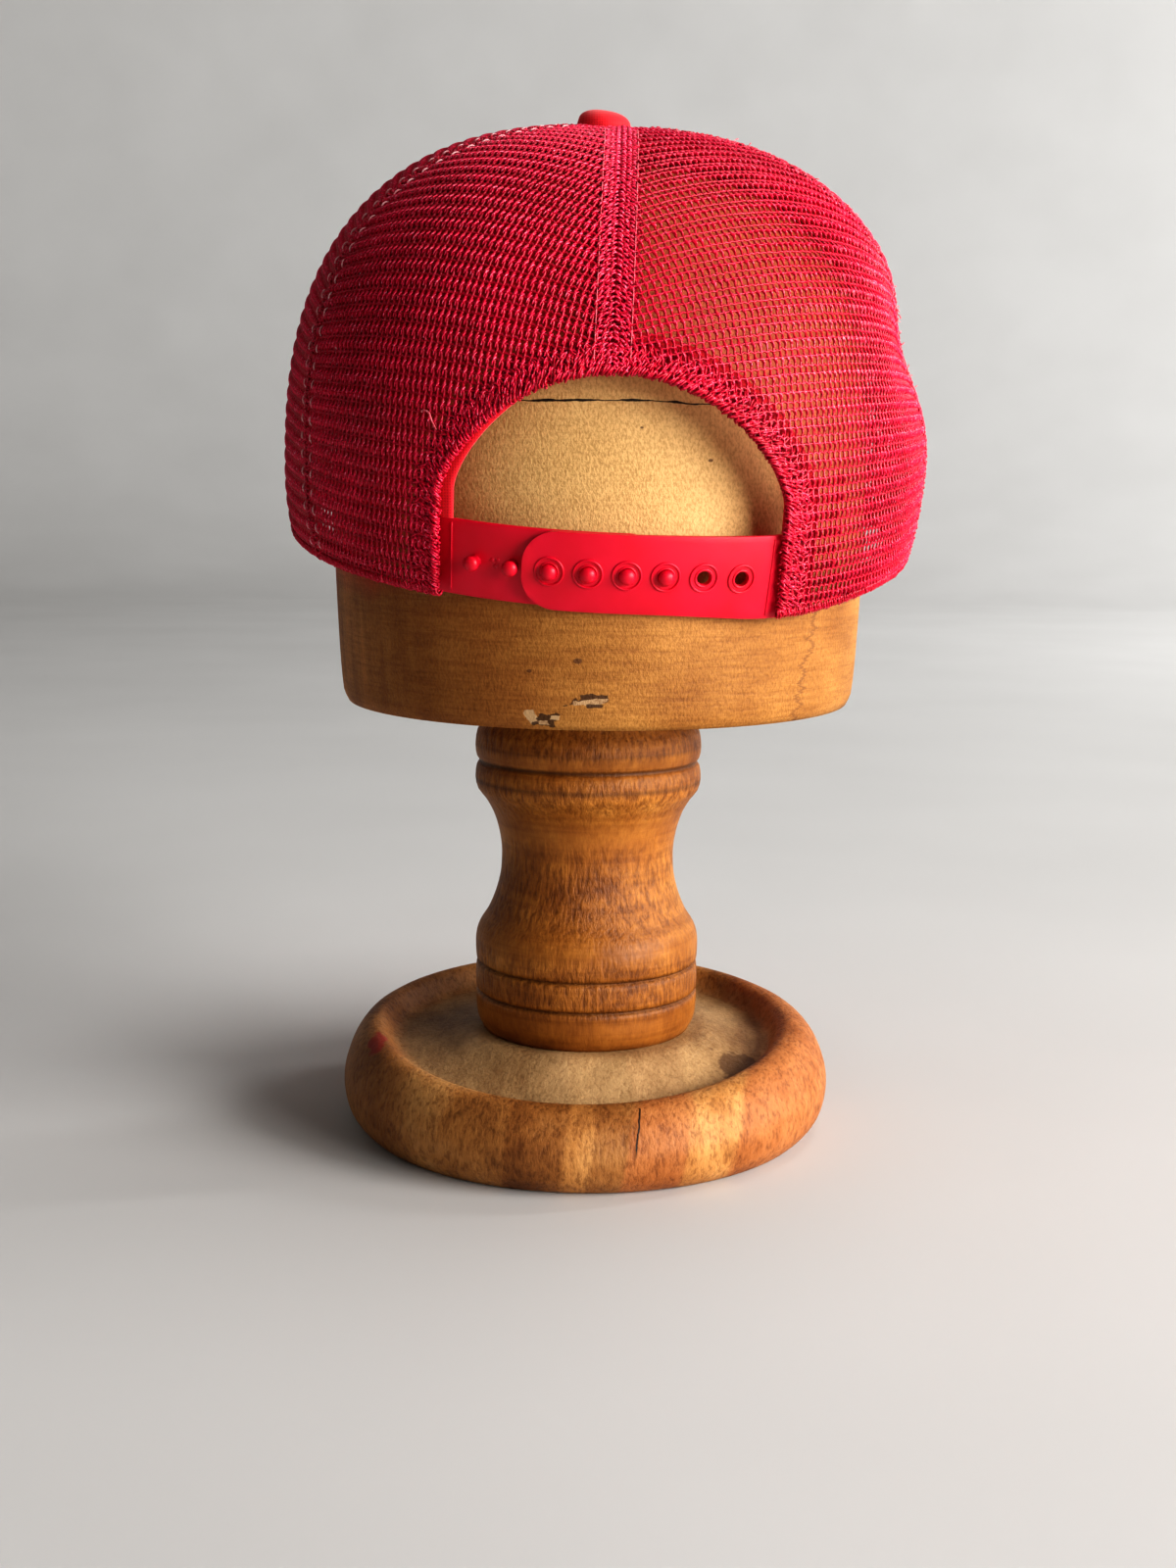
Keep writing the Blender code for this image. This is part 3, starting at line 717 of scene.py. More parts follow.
def block_material():
    """Sandy, mottled wood, darker below the cap, with an open joint, chips with painted shadow in their
    hollows and a stain; under the cap, painted shade and red bounce light.
    """
    wood = Shader("block_wood", 0.58, Specular_IOR_Level=0.30)
    x, y, z = wood.axes()
    scratches = wood.noise(1.0, 4.0, 0.65, (60.0, 60.0, 900.0))
    mottle = wood.noise(1500.0, 3.0, 0.65, (1.0, 1.0, 0.6), (0.0, 0.6, 0.0))
    cloud = wood.noise(24.0, 4.0)
    wave = wood.noise(60.0, 3.0)
    ragged = wood.noise(420.0, 3.0)
    back = y.math("LESS_THAN", 0.0)
    place = (x + 0.1) * 5.0

    # Sandy in the arch; under the cap, painted shade and red bounce light from the cap, seen through its
    # holes; warm brown below the rim
    stained = wood.ramp(z + wave * 0.014, (0.176, WHITE), (0.192, BLACK))
    base = wood.ramp(cloud, (0.30, (0.66, 0.410, 0.165)), (0.72, (0.80, 0.540, 0.245)))
    warm = wood.ramp(cloud, (0.30, (0.34, 0.140, 0.028)), (0.50, (0.46, 0.215, 0.053)),
                     (0.72, (0.56, 0.285, 0.080)))
    bare = wood.spot(x, z, (0.0025, 0.1800), (0.057, 0.062), None, 0.12)
    # Painted shade and red bounce light under the cap: deep red at the left, pinkish at the right; the arch's
    # opening is left out
    side = wood.ramp(place, (0.42, (0.95, 0.020, 0.090)), (0.56, (1.0, 0.44, 0.46)))
    colour = wood.mix(stained, wood.mix(bare, wood.tint(base, side), base), warm)
    grained = wood.ramp(scratches, (0.36, (0.76, 0.69, 0.60)), (0.56, WHITE))
    colour = wood.mix(stained * 0.6 + 0.25, colour, wood.tint(colour, grained))
    specks = wood.ramp(mottle, (0.36, (0.68, 0.62, 0.52)), (0.58, WHITE))
    colour = wood.tint(colour, specks, 0.8)
    left = wood.ramp(x * 8.0 + wave * 0.35, (0.0, (0.86, 0.74, 0.66)), (0.18, WHITE))
    colour = wood.mix(stained, colour, wood.tint(colour, left))

    # Chips (centre, half size, lean, tone) and dots (centre, half width) near the lower edge; the darkest
    # chip tone is painted shadow in the chips' hollows
    chip_shadow, pale = (0.060, 0.024, 0.009), (0.56, 0.37, 0.20)
    rubbed = wood.ramp(mottle, (0.36, (0.30, 0.160, 0.072)), (0.56, (0.56, 0.36, 0.190)))
    for centre, size, lean, tone in (
            ((0.0000, 0.1443), (0.0044, 0.0016), 1.2, chip_shadow),
            ((-0.0003, 0.1437), (0.0038, 0.0009), 1.2, rubbed),
            ((0.0016, 0.1427), (0.0024, 0.0005), 0.4, chip_shadow),
            ((-0.0149, 0.1392), (0.0018, 0.0018), -0.9, pale),
            ((-0.0112, 0.1388), (0.0030, 0.0017), 0.5, chip_shadow),
            ((-0.0090, 0.1394), (0.0013, 0.0006), 0.3, pale),
            ((-0.0122, 0.1380), (0.0015, 0.0006), -0.6, rubbed)):
        chip = wood.shard(x, z, centre, size, lean, ragged) * back
        colour = wood.mix(chip * 0.9, colour, tone)
    for centre, size in (((-0.0029, 0.1547), 0.0012), ((0.0311, 0.2069), 0.0007),
                         ((-0.0158, 0.1518), 0.0008), ((0.0130, 0.2150), 0.0005)):
        dot = wood.spot(x, z, centre, (size, 0.7 * size), ragged) * back
        colour = wood.mix(dot * 0.8, colour, (0.10, 0.035, 0.012))

    # A jagged stain at the right and drips at the left
    jag = (wood.noise(240.0, 5.0, 0.8, (0.0, 0.0, 1.0)) - 0.5) * 0.016
    line = x + jag - (z - 0.149) * 0.20
    stain = line.band(0.0595, 0.0003, 0.0005) * (stained * back)
    colour = wood.mix(stain * 0.75, colour, (0.20, 0.075, 0.018))
    dripped = wood.ramp(wood.noise(1.0, 4.0, 0.6, (110.0, 110.0, 16.0)), (0.40, (0.70, 0.60, 0.50)),
                        (0.55, WHITE), (0.68, (1.25, 1.22, 1.2)))
    aside = wood.ramp(place, (0.17, grey(0.85)), (0.34, BLACK))
    colour = wood.mix(aside * (stained * back), colour, wood.tint(colour, dripped))

    # The open joint, which runs unevenly
    uneven = z + x * 0.012 + (wave * 0.0020 + ragged * 0.0005)
    width = (wood.noise(130.0, 3.0, 0.5, (1.0, 1.0, 0.0)) - 0.36) * 0.0012
    joint = uneven.band(JOINT_HEIGHT + 0.0007, width.at_least(0.00008), 0.00012) * x.band(0.003, 0.033, 0.002)
    colour = wood.mix(joint * back, colour, (0.010, 0.006, 0.003))
    return wood.done(colour, mottle + scratches * 0.4, 0.5, 0.0007)


def turned_material():
    """Orange brown turned wood with rough marks that run up and down, and dark grooves."""
    wood = Shader("turned_wood", 0.46, Specular_IOR_Level=0.30)
    z = wood.axes()[2]
    streak = wood.noise(1.0, 4.0, 0.65, (820.0, 820.0, 240.0))
    turns = wood.noise(1.0, 4.0, 0.6, (14.0, 14.0, 420.0))
    cloud = wood.noise(1.0, 6.0, 0.65, (26.0, 26.0, 34.0))
    base = wood.ramp(cloud, (0.34, (0.21, 0.068, 0.011)), (0.48, (0.33, 0.122, 0.021)),
                     (0.56, (0.39, 0.155, 0.029)), (0.68, (0.50, 0.225, 0.050)))
    rough = z.band(0.0500, 0.0060, 0.005)
    for height, half, edge in ((0.1250, 0.0040, 0.003), (0.1090, 0.0020, 0.008), (0.0770, 0.0060, 0.012)):
        rough = rough.at_least(z.band(height, half, edge))
    marks = wood.ramp(streak, (0.38, (0.44, 0.36, 0.28)), (0.50, grey(0.95)), (0.64, (1.35, 1.42, 1.5)))
    colour = wood.mix(rough * 0.50 + 0.18, base, wood.tint(base, marks))
    rings = wood.ramp(turns, (0.38, (0.66, 0.57, 0.48)), (0.56, WHITE))
    colour = wood.tint(colour, rings, 0.55)
    for height, depth in ((0.1160, 0.75), (0.1100, 0.45), (0.1210, 0.25), (0.0522, 0.6), (0.0428, 0.6)):
        colour = wood.mix(z.band(height, 0.0002, 0.0009) * depth, colour, (0.055, 0.017, 0.003))
    return wood.done(colour, streak * (rough + 0.25), 0.6, 0.0010)


def dish_material():
    """The base's wood: patchy and stained, with a crack, flecks and a greyer floor to its dish."""
    wood = Shader("dish_wood", 0.54, Specular_IOR_Level=0.30)
    x, y, z = wood.axes()
    fleck = wood.noise(1.0, 4.0, 0.7, (760.0, 560.0, 300.0), (0.0, 0.3, 0.0))
    stripes = wood.noise(1.0, 3.0, 0.5, (42.0, 14.0, 10.0), (0.0, 0.35, 0.0))
    ragged = wood.noise(260.0, 3.0)
    base = wood.ramp(wood.noise(30.0, 6.0, 0.65), (0.34, (0.22, 0.085, 0.022)), (0.48, (0.42, 0.190, 0.055)),
                     (0.56, (0.50, 0.250, 0.085)), (0.70, (0.58, 0.320, 0.120)))

    # Zones of other tones from left to right
    across = x + z * -0.22 + (stripes - 0.5) * 0.022 + (ragged - 0.5) * 0.0022
    plain, brown = (0.92, 0.90, 0.86), (0.74, 0.66, 0.58)
    bright, rosy = (1.12, 1.12, 1.10), (0.88, 0.68, 0.62)
    zones = wood.ramp(across * 5.0 + 0.5, (0.20, brown), (0.215, plain), (0.372, plain), (0.380, brown),
                      (0.444, brown), (0.452, bright), (0.498, bright), (0.505, brown), (0.544, brown),
                      (0.550, rosy), (0.624, rosy), (0.634, bright), (0.700, bright), (0.712, rosy))
    colour = wood.tint(base, zones)
    worn = (x * x + y * y).math("SQRT") + ragged * 0.004
    floor_share = wood.ramp(worn * 10.0, (0.59, grey(0.80)), (0.64, BLACK))
    dust = wood.ramp(wood.noise(1.0, 6.0, 0.68, (34.0, 16.0, 16.0), (0.0, 0.0, 0.6)),
                     (0.36, (0.20, 0.118, 0.056)), (0.50, (0.40, 0.270, 0.135)), (0.64, (0.60, 0.41, 0.215)))
    colour = wood.mix(floor_share, colour, dust)
    marks = wood.ramp(fleck, (0.37, (0.40, 0.31, 0.24)), (0.50, WHITE), (0.66, (1.16, 1.18, 1.2)))
    colour = wood.tint(colour, marks, 0.60 - floor_share * 0.35)
    for centre, size, share, tone in (((-0.0640, -0.0235), (0.0030, 0.0062), 0.85, (0.30, 0.022, 0.014)),
                                      ((0.0470, -0.0290), (0.0075, 0.0105), 0.7, (0.10, 0.040, 0.018))):
        colour = wood.mix(wood.spot(x, y, centre, size, ragged) * share, colour, tone)
    crooked = x - z * 0.12 + ragged * 0.0016
    front = z.band(0.0215, 0.0065, 0.003) * y.math("LESS_THAN", -0.067)
    crack = crooked.band(0.0136, 0.00016, 0.00022) * front
    return wood.done(wood.mix(crack, colour, (0.020, 0.008, 0.003)), fleck, 0.5, 0.0008)


YARN = yarn_material("knit_yarn", (0.42, 0.0011, 0.021), (0.60, 0.0017, 0.036), (0.92, 0.045, 0.14), 0.31)
# A paler, glossier copy of the knit yarn: a painted highlight for the raised loops and the back seam's
# strands.
PAINTED_HIGHLIGHT_YARN = yarn_material("loop_yarn_painted_highlight", (0.78, 0.018, 0.080), (0.90, 0.032, 0.115), (0.98, 0.30, 0.44), 0.24)
LINING = cloth_material("fold_lining", (0.46, 0.0016, 0.010), (0.60, 0.0024, 0.016), 2400.0)
SEAM_THREAD = thread_material("seam_thread", (0.72, 0.03, 0.06), (0.95, 0.30, 0.36))
PALE_THREAD = thread_material("left_seam_thread", (0.80, 0.22, 0.26), (0.95, 0.66, 0.66))
CLOTH = cloth_material("brim_cloth", (0.46, 0.003, 0.012), (0.60, 0.005, 0.020))
FOAM = cloth_material("front_cloth", (0.50, 0.003, 0.014), (0.64, 0.005, 0.022), 1500.0)
TAPE = cloth_material("arch_binding", (0.74, 0.003, 0.016), (0.84, 0.005, 0.024), 2600.0)
PLASTIC = plastic_material()
BLOCK = block_material()
TURNED = turned_material()
DISH = dish_material()


# The knitted panels

def knitted_panels():
    """Cloth over the four mesh panels, with raised loops in a paler yarn that is a painted highlight, and a
    folded layer inside.
    """
    for name, node, left, right, lean, full in (
            ("back_left", "back_panel_left", "left", "back", 1.0, 1.25),
            ("back_right", "back_panel_right", "back", "right", -0.8, 1.08),
            ("side_left", "side_panel_left", "front_left", "left", 1.0, 1.25),
            ("side_right", "side_panel_right", "right", "front_right", -0.8, 1.08)):
        layout = Layout(left, right)
        piece_of("knit_" + name, knit(layout, in_panel, 0.0, full), YARN, [node])
        piece_of("loops_" + name, loops(layout, lean), PAINTED_HIGHLIGHT_YARN)
        folds = knit(Layout(left, right, 0.45), in_folds, UNDER_LAYER, 1.1, 2)
        piece_of("fold_" + name, folds, YARN)


def edge_loops(places, normals, along, away, pitch):
    """Loops of yarn that pass round a folded edge.

    places, normals, along and away are arrays along the edge: away points into the cloth.
    """
    path = ((2.3, 0.30), (1.5, 0.42), (0.7, 0.45), (-0.05, 0.05), (0.0, -0.85), (0.9, -1.25))
    millimetre = 0.001
    loops = []
    for share, (reach, height) in enumerate(path):
        slant = (share / (len(path) - 1) - 0.5) * 1.3 * pitch
        loops.append(places + away * reach * millimetre + normals * (height - 0.4) * millimetre
                     + along * slant)
    lines = np.stack(loops, 1)
    lines += 0.00010 * draws.standard_normal(lines.shape)
    return tubes(lines, np.repeat(normals[:, None], len(path), 1), RIDGE_RADIUS)


def strands(place, length, pitch, low, high, slant, bulge, radius=THIN_RADIUS, sink=YARN_DEPTH, wild=1.0):
    """A row of short slanted strands across a band, raised in the middle.

    place(along, reach) gives points and normals; low and high are the row's edges.
    """
    starts = np.arange(0.5, length / pitch - 0.5) * pitch
    count = len(starts)
    starts = starts + 0.22 * wild * pitch * draws.standard_normal(count)
    shares = np.linspace(0.0, 1.0, 4)
    slants = slant * (1.0 + 0.32 * wild * draws.standard_normal((count, 1)))
    curl = 0.0003 * wild * draws.standard_normal((count, 1)) * np.sin(math.pi * shares)
    along = starts[:, None] + slants * (shares - 0.5)[None, :] + curl
    edge = 0.00018 * wild * draws.standard_normal((count, 2))
    reach = (low + edge[:, :1]) * (1.0 - shares) + (high + edge[:, 1:]) * shares
    points, normals = place(along, reach)
    height = bulge * (0.75 + 0.5 * draws.random((count, 1))) * np.sin(math.pi * shares) ** 0.8 - sink
    return tubes(points + normals * height[..., None], normals, radius)


def arch_hem():
    """Strands that pass round the arch's edge, with raised loops over them in a paler yarn, a painted
    highlight.
    """
    base = arch_edge()
    step = 0.001
    outward = (arch_edge(step) - base) / step
    length = run(base)

    def place(along, reach):
        flat = [np.interp(along, length, base[:, k]) + reach * np.interp(along, length, outward[:, k])
                for k in range(2)]
        return back_place(flat[0], flat[1])

    # Pitch, low and high edge, slant and bulge of each row, then radius and sink
    hem = (
        (0.00095, -0.0002, 0.0024, 0.0018, 0.00070),
        (0.00110, 0.0016, 0.0036, 0.0012, 0.00060),
        (0.00125, 0.0031, 0.0055, 0.0014, 0.00050, 0.00032),
        (0.00150, 0.0049, 0.0074, -0.0010, 0.00040, 0.00030),
        (0.00105, -0.0001, 0.0016, -0.0010, -0.00040, 0.00040, 0.0010),
    )
    raised = (
        (0.00230, 0.0001, 0.0021, 0.0015, 0.00074, LOOP_RADIUS),
        (0.00240, 0.0022, 0.0042, 0.0012, 0.00070, LOOP_RADIUS),
        (0.00280, 0.0046, 0.0066, 0.0012, 0.00056, LOOP_RADIUS),
    )
    for name, rows, yarn in (("arch_hem", hem, YARN), ("arch_loops", raised, PAINTED_HIGHLIGHT_YARN)):
        piece_of(name, join([strands(place, length[-1], *row) for row in rows]), yarn)


def rim_hem():
    """The folded edge along the rim of the mesh panels."""
    pitch = 0.00096
    foot_radius = float(crown_radius(np.array(0.0), np.array(0.0)))
    parts = []
    for start, end in ((seam_azimuth("front_left", 0.0), math.asin(ARCH_LEFT / foot_radius)),
                       (math.asin(ARCH_RIGHT / foot_radius), seam_azimuth("front_right", 0.0))):
        azimuth = np.linspace(float(start), float(end), 400)
        line = crown(azimuth, np.zeros(400))
        length = run(line)
        where = np.arange(0.5 * pitch, length[-1], pitch)
        edge = along_line(where, length, line)
        turn = np.arctan2(edge[:, 0], -edge[:, 1])
        normals = crown_normal(turn, np.full(len(edge), 0.004))
        along = unit(np.gradient(edge, axis=0))
        parts.append(edge_loops(edge, normals, along, unit(np.cross(normals, along)), pitch))
    piece_of("rim_hem", join(parts), YARN)


def along_seam(name):
    """The seam's length and a place function (along, reach) on the crown."""
    rise = np.linspace(0.002, 0.985, 600)
    line = crown(seam_azimuth(name, rise), rise)
    if name == "back":
        rise = rise[arch_distance(line) > 0.0]
        line = crown(seam_azimuth(name, rise), rise)
    length = run(line)

    def place(along, reach):
        here = np.interp(along, length, rise)
        centre = crown(seam_azimuth(name, here), here)
        around = np.maximum(np.hypot(centre[..., 0], centre[..., 1]), 0.010)
        azimuth = seam_azimuth(name, here) + reach / around
        return crown(azimuth, here), crown_normal(azimuth, here)

    return length[-1], place


def seam_bands():
    """Rows of strands where two panels are sewn together."""
    # Low and high edge, slant and bulge of each row
    back = ((-0.0040, -0.0025, 0.0009, 0.00030), (-0.0026, -0.0011, 0.0009, 0.00045),
            (-0.0013, 0.0005, 0.0009, 0.00070), (0.0000, 0.0018, -0.0009, 0.00080),
            (0.0017, 0.0032, -0.0009, 0.00060), (0.0031, 0.0046, -0.0009, 0.00040))
    side = ((-0.0021, -0.0004, 0.0011, 0.0006), (-0.0005, 0.0010, -0.0010, 0.0008),
            (0.0008, 0.0024, 0.0010, 0.0006))
    front_left = ((0.0, 0.0017, 0.0011, 0.0005), (0.0015, 0.0031, -0.0010, 0.0004))
    front_right = [(-low, -high, slant, bulge) for low, high, slant, bulge in front_left]
    for name, rows in (("front_left", front_left), ("left", side), ("back", back), ("right", side),
                       ("front_right", front_right)):
        whole, place = along_seam(name)
        pitch, radius, wild, yarn = 0.00135, THIN_RADIUS, 1.0, YARN
        if name == "back":
            # The back seam's strands take the paler yarn, a painted highlight.
            pitch, radius, wild, yarn = 0.00155, 0.00029, 0.4, PAINTED_HIGHLIGHT_YARN
        parts = [strands(place, whole, pitch, *row, radius, YARN_DEPTH, wild) for row in rows]
        piece_of("seam_band_" + name, join(parts), yarn)


def fold_lining():
    """The inner layer of the folded cloth along the seams, and a disc of it under the button."""
    radius, sides = 0.0085, 32
    disc = [(radius, CROWN_HEIGHT - 0.0015), (radius, CROWN_HEIGHT - 0.0008)]
    parts = [closed(*spun(disc, sides, np.eye(4)), sides)]
    # Low and high edge and depth of each strip
    strips = {
        "front_left": (0.0, 0.0046, 0.0017),
        "left": (-0.0170, 0.0046, 0.0002),
        "back": (-0.0060, 0.0060, 0.0017),
        "right": (-0.0046, 0.0046, 0.0017),
        "front_right": (-0.0046, 0.0, 0.0017),
    }
    for name, (low, high, sink) in strips.items():
        whole, place = along_seam(name)
        samples = 90
        along = np.linspace(0.002, whole - 0.001, samples)
        taper = 1.0 - 0.75 * along / whole if name == "left" else 1.0
        rows = []
        for reach in np.linspace(low, high, 9):
            points, normals = place(along, np.full(samples, reach) * taper)
            rows.append((points - normals * sink, normals))
        parts.append(strip(rows, 0.0003))
    piece_of("fold_lining", join(parts), LINING)


def fuzz():
    """Short ends of yarn that stand out of the right seam, and one loose thread."""
    whole, place = along_seam("right")
    count = 46
    starts = draws.uniform(0.30, 0.86, count) * whole
    reach = draws.uniform(-0.0022, 0.0022, count)
    shares = np.linspace(0.0, 1.0, 5)
    drift = draws.uniform(-0.0022, 0.0022, (count, 2))
    tall = draws.uniform(0.0006, 0.0019, count)
    along = starts[:, None] + drift[:, :1] * shares ** 1.5
    across = reach[:, None] + drift[:, 1:] * shares
    points, normals = place(along, across)
    lines = points + normals * (tall[:, None] * np.sin(0.5 * math.pi * shares) - YARN_DEPTH)[..., None]
    ends = tubes(lines, normals, 0.00016, sides=4)
    turn = np.linspace(0.0, 1.0, 14)
    flat = LOOSE_THREAD + np.stack([0.0042 * turn - 0.0003 * np.sin(9.0 * turn),
                                    -0.0038 * turn ** 2 + 0.0012 * np.sin(3.0 * turn)], 1)
    points, normals = back_place(flat[:, 0], flat[:, 1])
    lift = 0.0002 + 0.0010 * np.sin(math.pi * turn)
    thread = tubes((points + normals * lift[:, None])[None], normals[None], 0.00020, sides=5)
    piece_of("loose_yarn", join([ends, thread]), SEAM_THREAD)


def stitch_line(places, normals, length, gap, radius, lift=0.0004):
    """A row of stitches along a line of points, each an arc that dips into the cloth."""
    along = run(places)
    count = int(along[-1] / (length + gap))
    shares = np.linspace(0.0, 1.0, 5)
    arc = np.sin(math.pi * shares) ** 0.6
    starts = (np.arange(count) + 0.25) * (length + gap)
    starts = starts + 0.00015 * draws.standard_normal(count)
    where = starts[:, None] + length * shares[None, :]
    out = unit(along_line(where, along, normals))
    lines = along_line(where, along, places)
    lines = lines + out * ((lift + radius) * arc - 0.7 * radius - 0.0002)[None, :, None]
    return tubes(lines, out, radius)


def stitches():
    """Topstitching beside the seams, paler and thicker along the left one."""
    parts, pale_parts = [], []
    for name, offset, length, gap in (
            ("back", -0.0042, 0.0046, 0.0006), ("back", 0.0049, 0.0046, 0.0006),
            ("left", -0.0030, 0.0029, 0.0020), ("left", 0.0034, 0.0029, 0.0020),
            ("right", -0.0030, 0.0024, 0.0016), ("right", 0.0030, 0.0024, 0.0016),
            ("front_left", 0.0030, 0.0024, 0.0012), ("front_right", -0.0030, 0.0024, 0.0012)):
        rise = np.linspace(0.012, 0.955, 400)
        azimuth = seam_azimuth(name, rise)
        line = crown(azimuth, rise)
        azimuth = azimuth + offset / np.maximum(np.hypot(line[:, 0], line[:, 1]), 0.006)
        line = crown(azimuth, rise)
        clear = arch_distance(line) > 0.001
        places, normals = line[clear], crown_normal(azimuth, rise)[clear]
        if name == "left":
            pale_parts.append(stitch_line(places, normals, length, gap, 0.00024, 0.0005))
        else:
            parts.append(stitch_line(places, normals, length, gap, 0.00015))
    piece_of("seam_stitches", join(parts), SEAM_THREAD)
    piece_of("left_seam_stitches", join(pale_parts), PALE_THREAD)


# The arch's binding and the strap

def strip(rows, thickness):
    """A closed strip with round edges from rows of (points, normals) across its width."""
    outer = np.stack([row[0] for row in rows])
    normals = np.stack([row[1] for row in rows])
    inner = outer - normals * thickness
    middle_low = outer[0] - normals[0] * 0.5 * thickness
    middle_high = outer[-1] - normals[-1] * 0.5 * thickness
    ring = np.stack(list(outer) + [middle_high] + list(inner[::-1]) + [middle_low])
    count, length = ring.shape[:2]
    faces = []
    for k in range(count):
        after = (k + 1) % count
        for j in range(length - 1):
            faces.append([k * length + j, k * length + j + 1, after * length + j + 1, after * length + j])
    faces.append([k * length for k in range(count)])
    faces.append([k * length + length - 1 for k in reversed(range(count))])
    return ring.reshape(-1, 3), faces


def arch_binding():
    """The smooth tape inside the arch; it shows only at the lower left."""
    bottom = STRAP_RISE + STRAP_HEIGHT + FIT_GAP
    step = 0.001
    shape = arch_line(0.0, 140)
    outward = arch_line(step, 140) - shape
    shown = np.clip(1.0 - np.arange(141) / 46.0, 0.0, 1.0) ** 0.7
    rows = []
    hidden = 0.0010     # how far the tape's edge lies back where it doesn't show
    for share in np.linspace(0.0, 1.0, 9):
        offset = -(TAPE_PEEK + hidden) * shown + hidden + share * TAPE_WIDTH
        line = shape + outward * (offset / step)[:, None]
        left = np.stack([np.full(20, line[0, 0]), np.linspace(bottom, ARCH_STRAIGHT, 20)], 1)
        right = np.stack([np.full(20, line[-1, 0]), np.linspace(ARCH_STRAIGHT, bottom, 20)], 1)
        line = np.concatenate([left[:-1], line, right[1:]])
        rows.append(back_place(line[:, 0], line[:, 1], LINING_DEPTH))
    piece_of("arch_binding", strip(rows, TAPE_THICKNESS), TAPE, ["arch_tape"])


def wrapped(mesh, inset):
    """Bends a flat mesh (across, height, out) onto the back wall."""
    flat = np.empty(len(mesh.vertices) * 3)
    mesh.vertices.foreach_get("co", flat)
    flat = flat.reshape(-1, 3)
    places, normals = back_place(flat[:, 0], flat[:, 1], inset)
    mesh.vertices.foreach_set("co", (places + normals * flat[:, 2:]).ravel())
    mesh.update()


def tab_outline(start, end, round_end):
    """A tab's outline with two round corners at one end."""
    low, high = STRAP_RISE, STRAP_RISE + STRAP_HEIGHT
    other = end if round_end == start else start
    inward = TAB_CORNER if other > round_end else -TAB_CORNER
    points = [(other, low), (other, high)]
    turns = np.linspace(0.5 * math.pi, 0.0, 11)
    for corner, sign, order in ((high - TAB_CORNER, 1.0, turns), (low + TAB_CORNER, -1.0, turns[::-1])):
        for turn in order:
            points.append((round_end + inward * (1.0 - math.cos(turn)),
                           corner + sign * TAB_CORNER * math.sin(turn)))
    return points


def mesh_of(name, shape):
    """A mesh from a bmesh, which is freed."""
    mesh = bpy.data.meshes.new(name)
    shape.to_mesh(mesh)
    shape.free()
    return mesh


def flat_tab(name, outline, holes):
    """A flat tab with holes and rounded edges, ready to be bent."""
    shape = bmesh.new()
    face = shape.faces.new([shape.verts.new((x, z, -STRAP_THICKNESS)) for x, z in outline])
    grown = bmesh.ops.extrude_face_region(shape, geom=[face])
    moved = [item for item in grown["geom"] if isinstance(item, bmesh.types.BMVert)]
    bmesh.ops.translate(shape, verts=moved, vec=(0.0, 0.0, STRAP_THICKNESS))
    bmesh.ops.recalc_face_normals(shape, faces=shape.faces)
    tab = placed(name + "_flat", mesh_of(name, shape))
    helpers = [tab]
    if holes:
        shape = bmesh.new()
        for x, z in holes:
            bmesh.ops.create_cone(shape, cap_ends=True, segments=32, radius1=HOLE_RADIUS,
                                  radius2=HOLE_RADIUS, depth=6.0 * STRAP_THICKNESS,
                                  matrix=Matrix.Translation((x, z, 0.0)))
        helpers.append(placed(name + "_holes", mesh_of(name + "_holes", shape)))
        cut = tab.modifiers.new("holes", "BOOLEAN")
        cut.operation = "DIFFERENCE"
        cut.solver = "EXACT"
        cut.object = helpers[1]
    edge = tab.modifiers.new("edge", "BEVEL")
    edge.width = 0.00045
    edge.segments = 3
    edge.limit_method = "ANGLE"
    edge.angle_limit = math.radians(50.0)
    bpy.context.view_layer.update()
    shape = bmesh.new()
    shape.from_mesh(tab.evaluated_get(bpy.context.evaluated_depsgraph_get()).to_mesh())
    for helper in helpers:
        bpy.data.objects.remove(helper)
    across = [x for x, _ in outline]
    cuts = [((x, 0.0, 0.0), (1.0, 0.0, 0.0)) for x in np.arange(min(across) + 0.0015, max(across), 0.0015)]
    cuts += [((0.0, z, 0.0), (0.0, 1.0, 0.0))
             for z in np.arange(STRAP_RISE + 0.002, STRAP_RISE + STRAP_HEIGHT, 0.003)]
    for place, normal in cuts:
        everything = list(shape.verts) + list(shape.edges) + list(shape.faces)
        bmesh.ops.bisect_plane(shape, geom=everything, plane_co=place, plane_no=normal)
    return mesh_of(name, shape)


def ring_faces(rings, sides, flip=False):
    """Faces between round rings of points that follow one another."""
    faces = []
    for k in range(rings - 1):
        for j in range(sides):
            after = (j + 1) % sides
            face = [k * sides + j, k * sides + after, (k + 1) * sides + after, (k + 1) * sides + j]
            faces.append(face[::-1] if flip else face)
    return faces


def spun(profile, sides, place):
    """A turned shape, open at its ends, from (radius, height) pairs on a placed frame."""
    turn = 2.0 * math.pi * np.arange(sides) / sides
    rings = [np.stack([radius * np.cos(turn), radius * np.sin(turn), np.full(sides, height)], 1)
             for radius, height in profile]
    points = np.concatenate(rings) @ place[:3, :3].T + place[:3, 3]
    return points, ring_faces(len(profile), sides)


def closed(points, faces, sides):
    """A turned shape with its first and last rings filled in."""
    last = len(points) - sides
    return points, faces + [list(reversed(range(sides))), list(range(last, last + sides))]


def aimed(across, height, inset):
    """A frame on the back wall whose third axis points out."""
    here, normal = back_place(across, height, inset)
    climb = back_place(across, height + 4e-4, inset)[0] - here
    up = unit(climb - normal * (climb @ normal))
    place = np.eye(4)
    place[:3, :3] = np.stack([np.cross(up, normal), up, normal], 1)
    place[:3, 3] = here
    return place


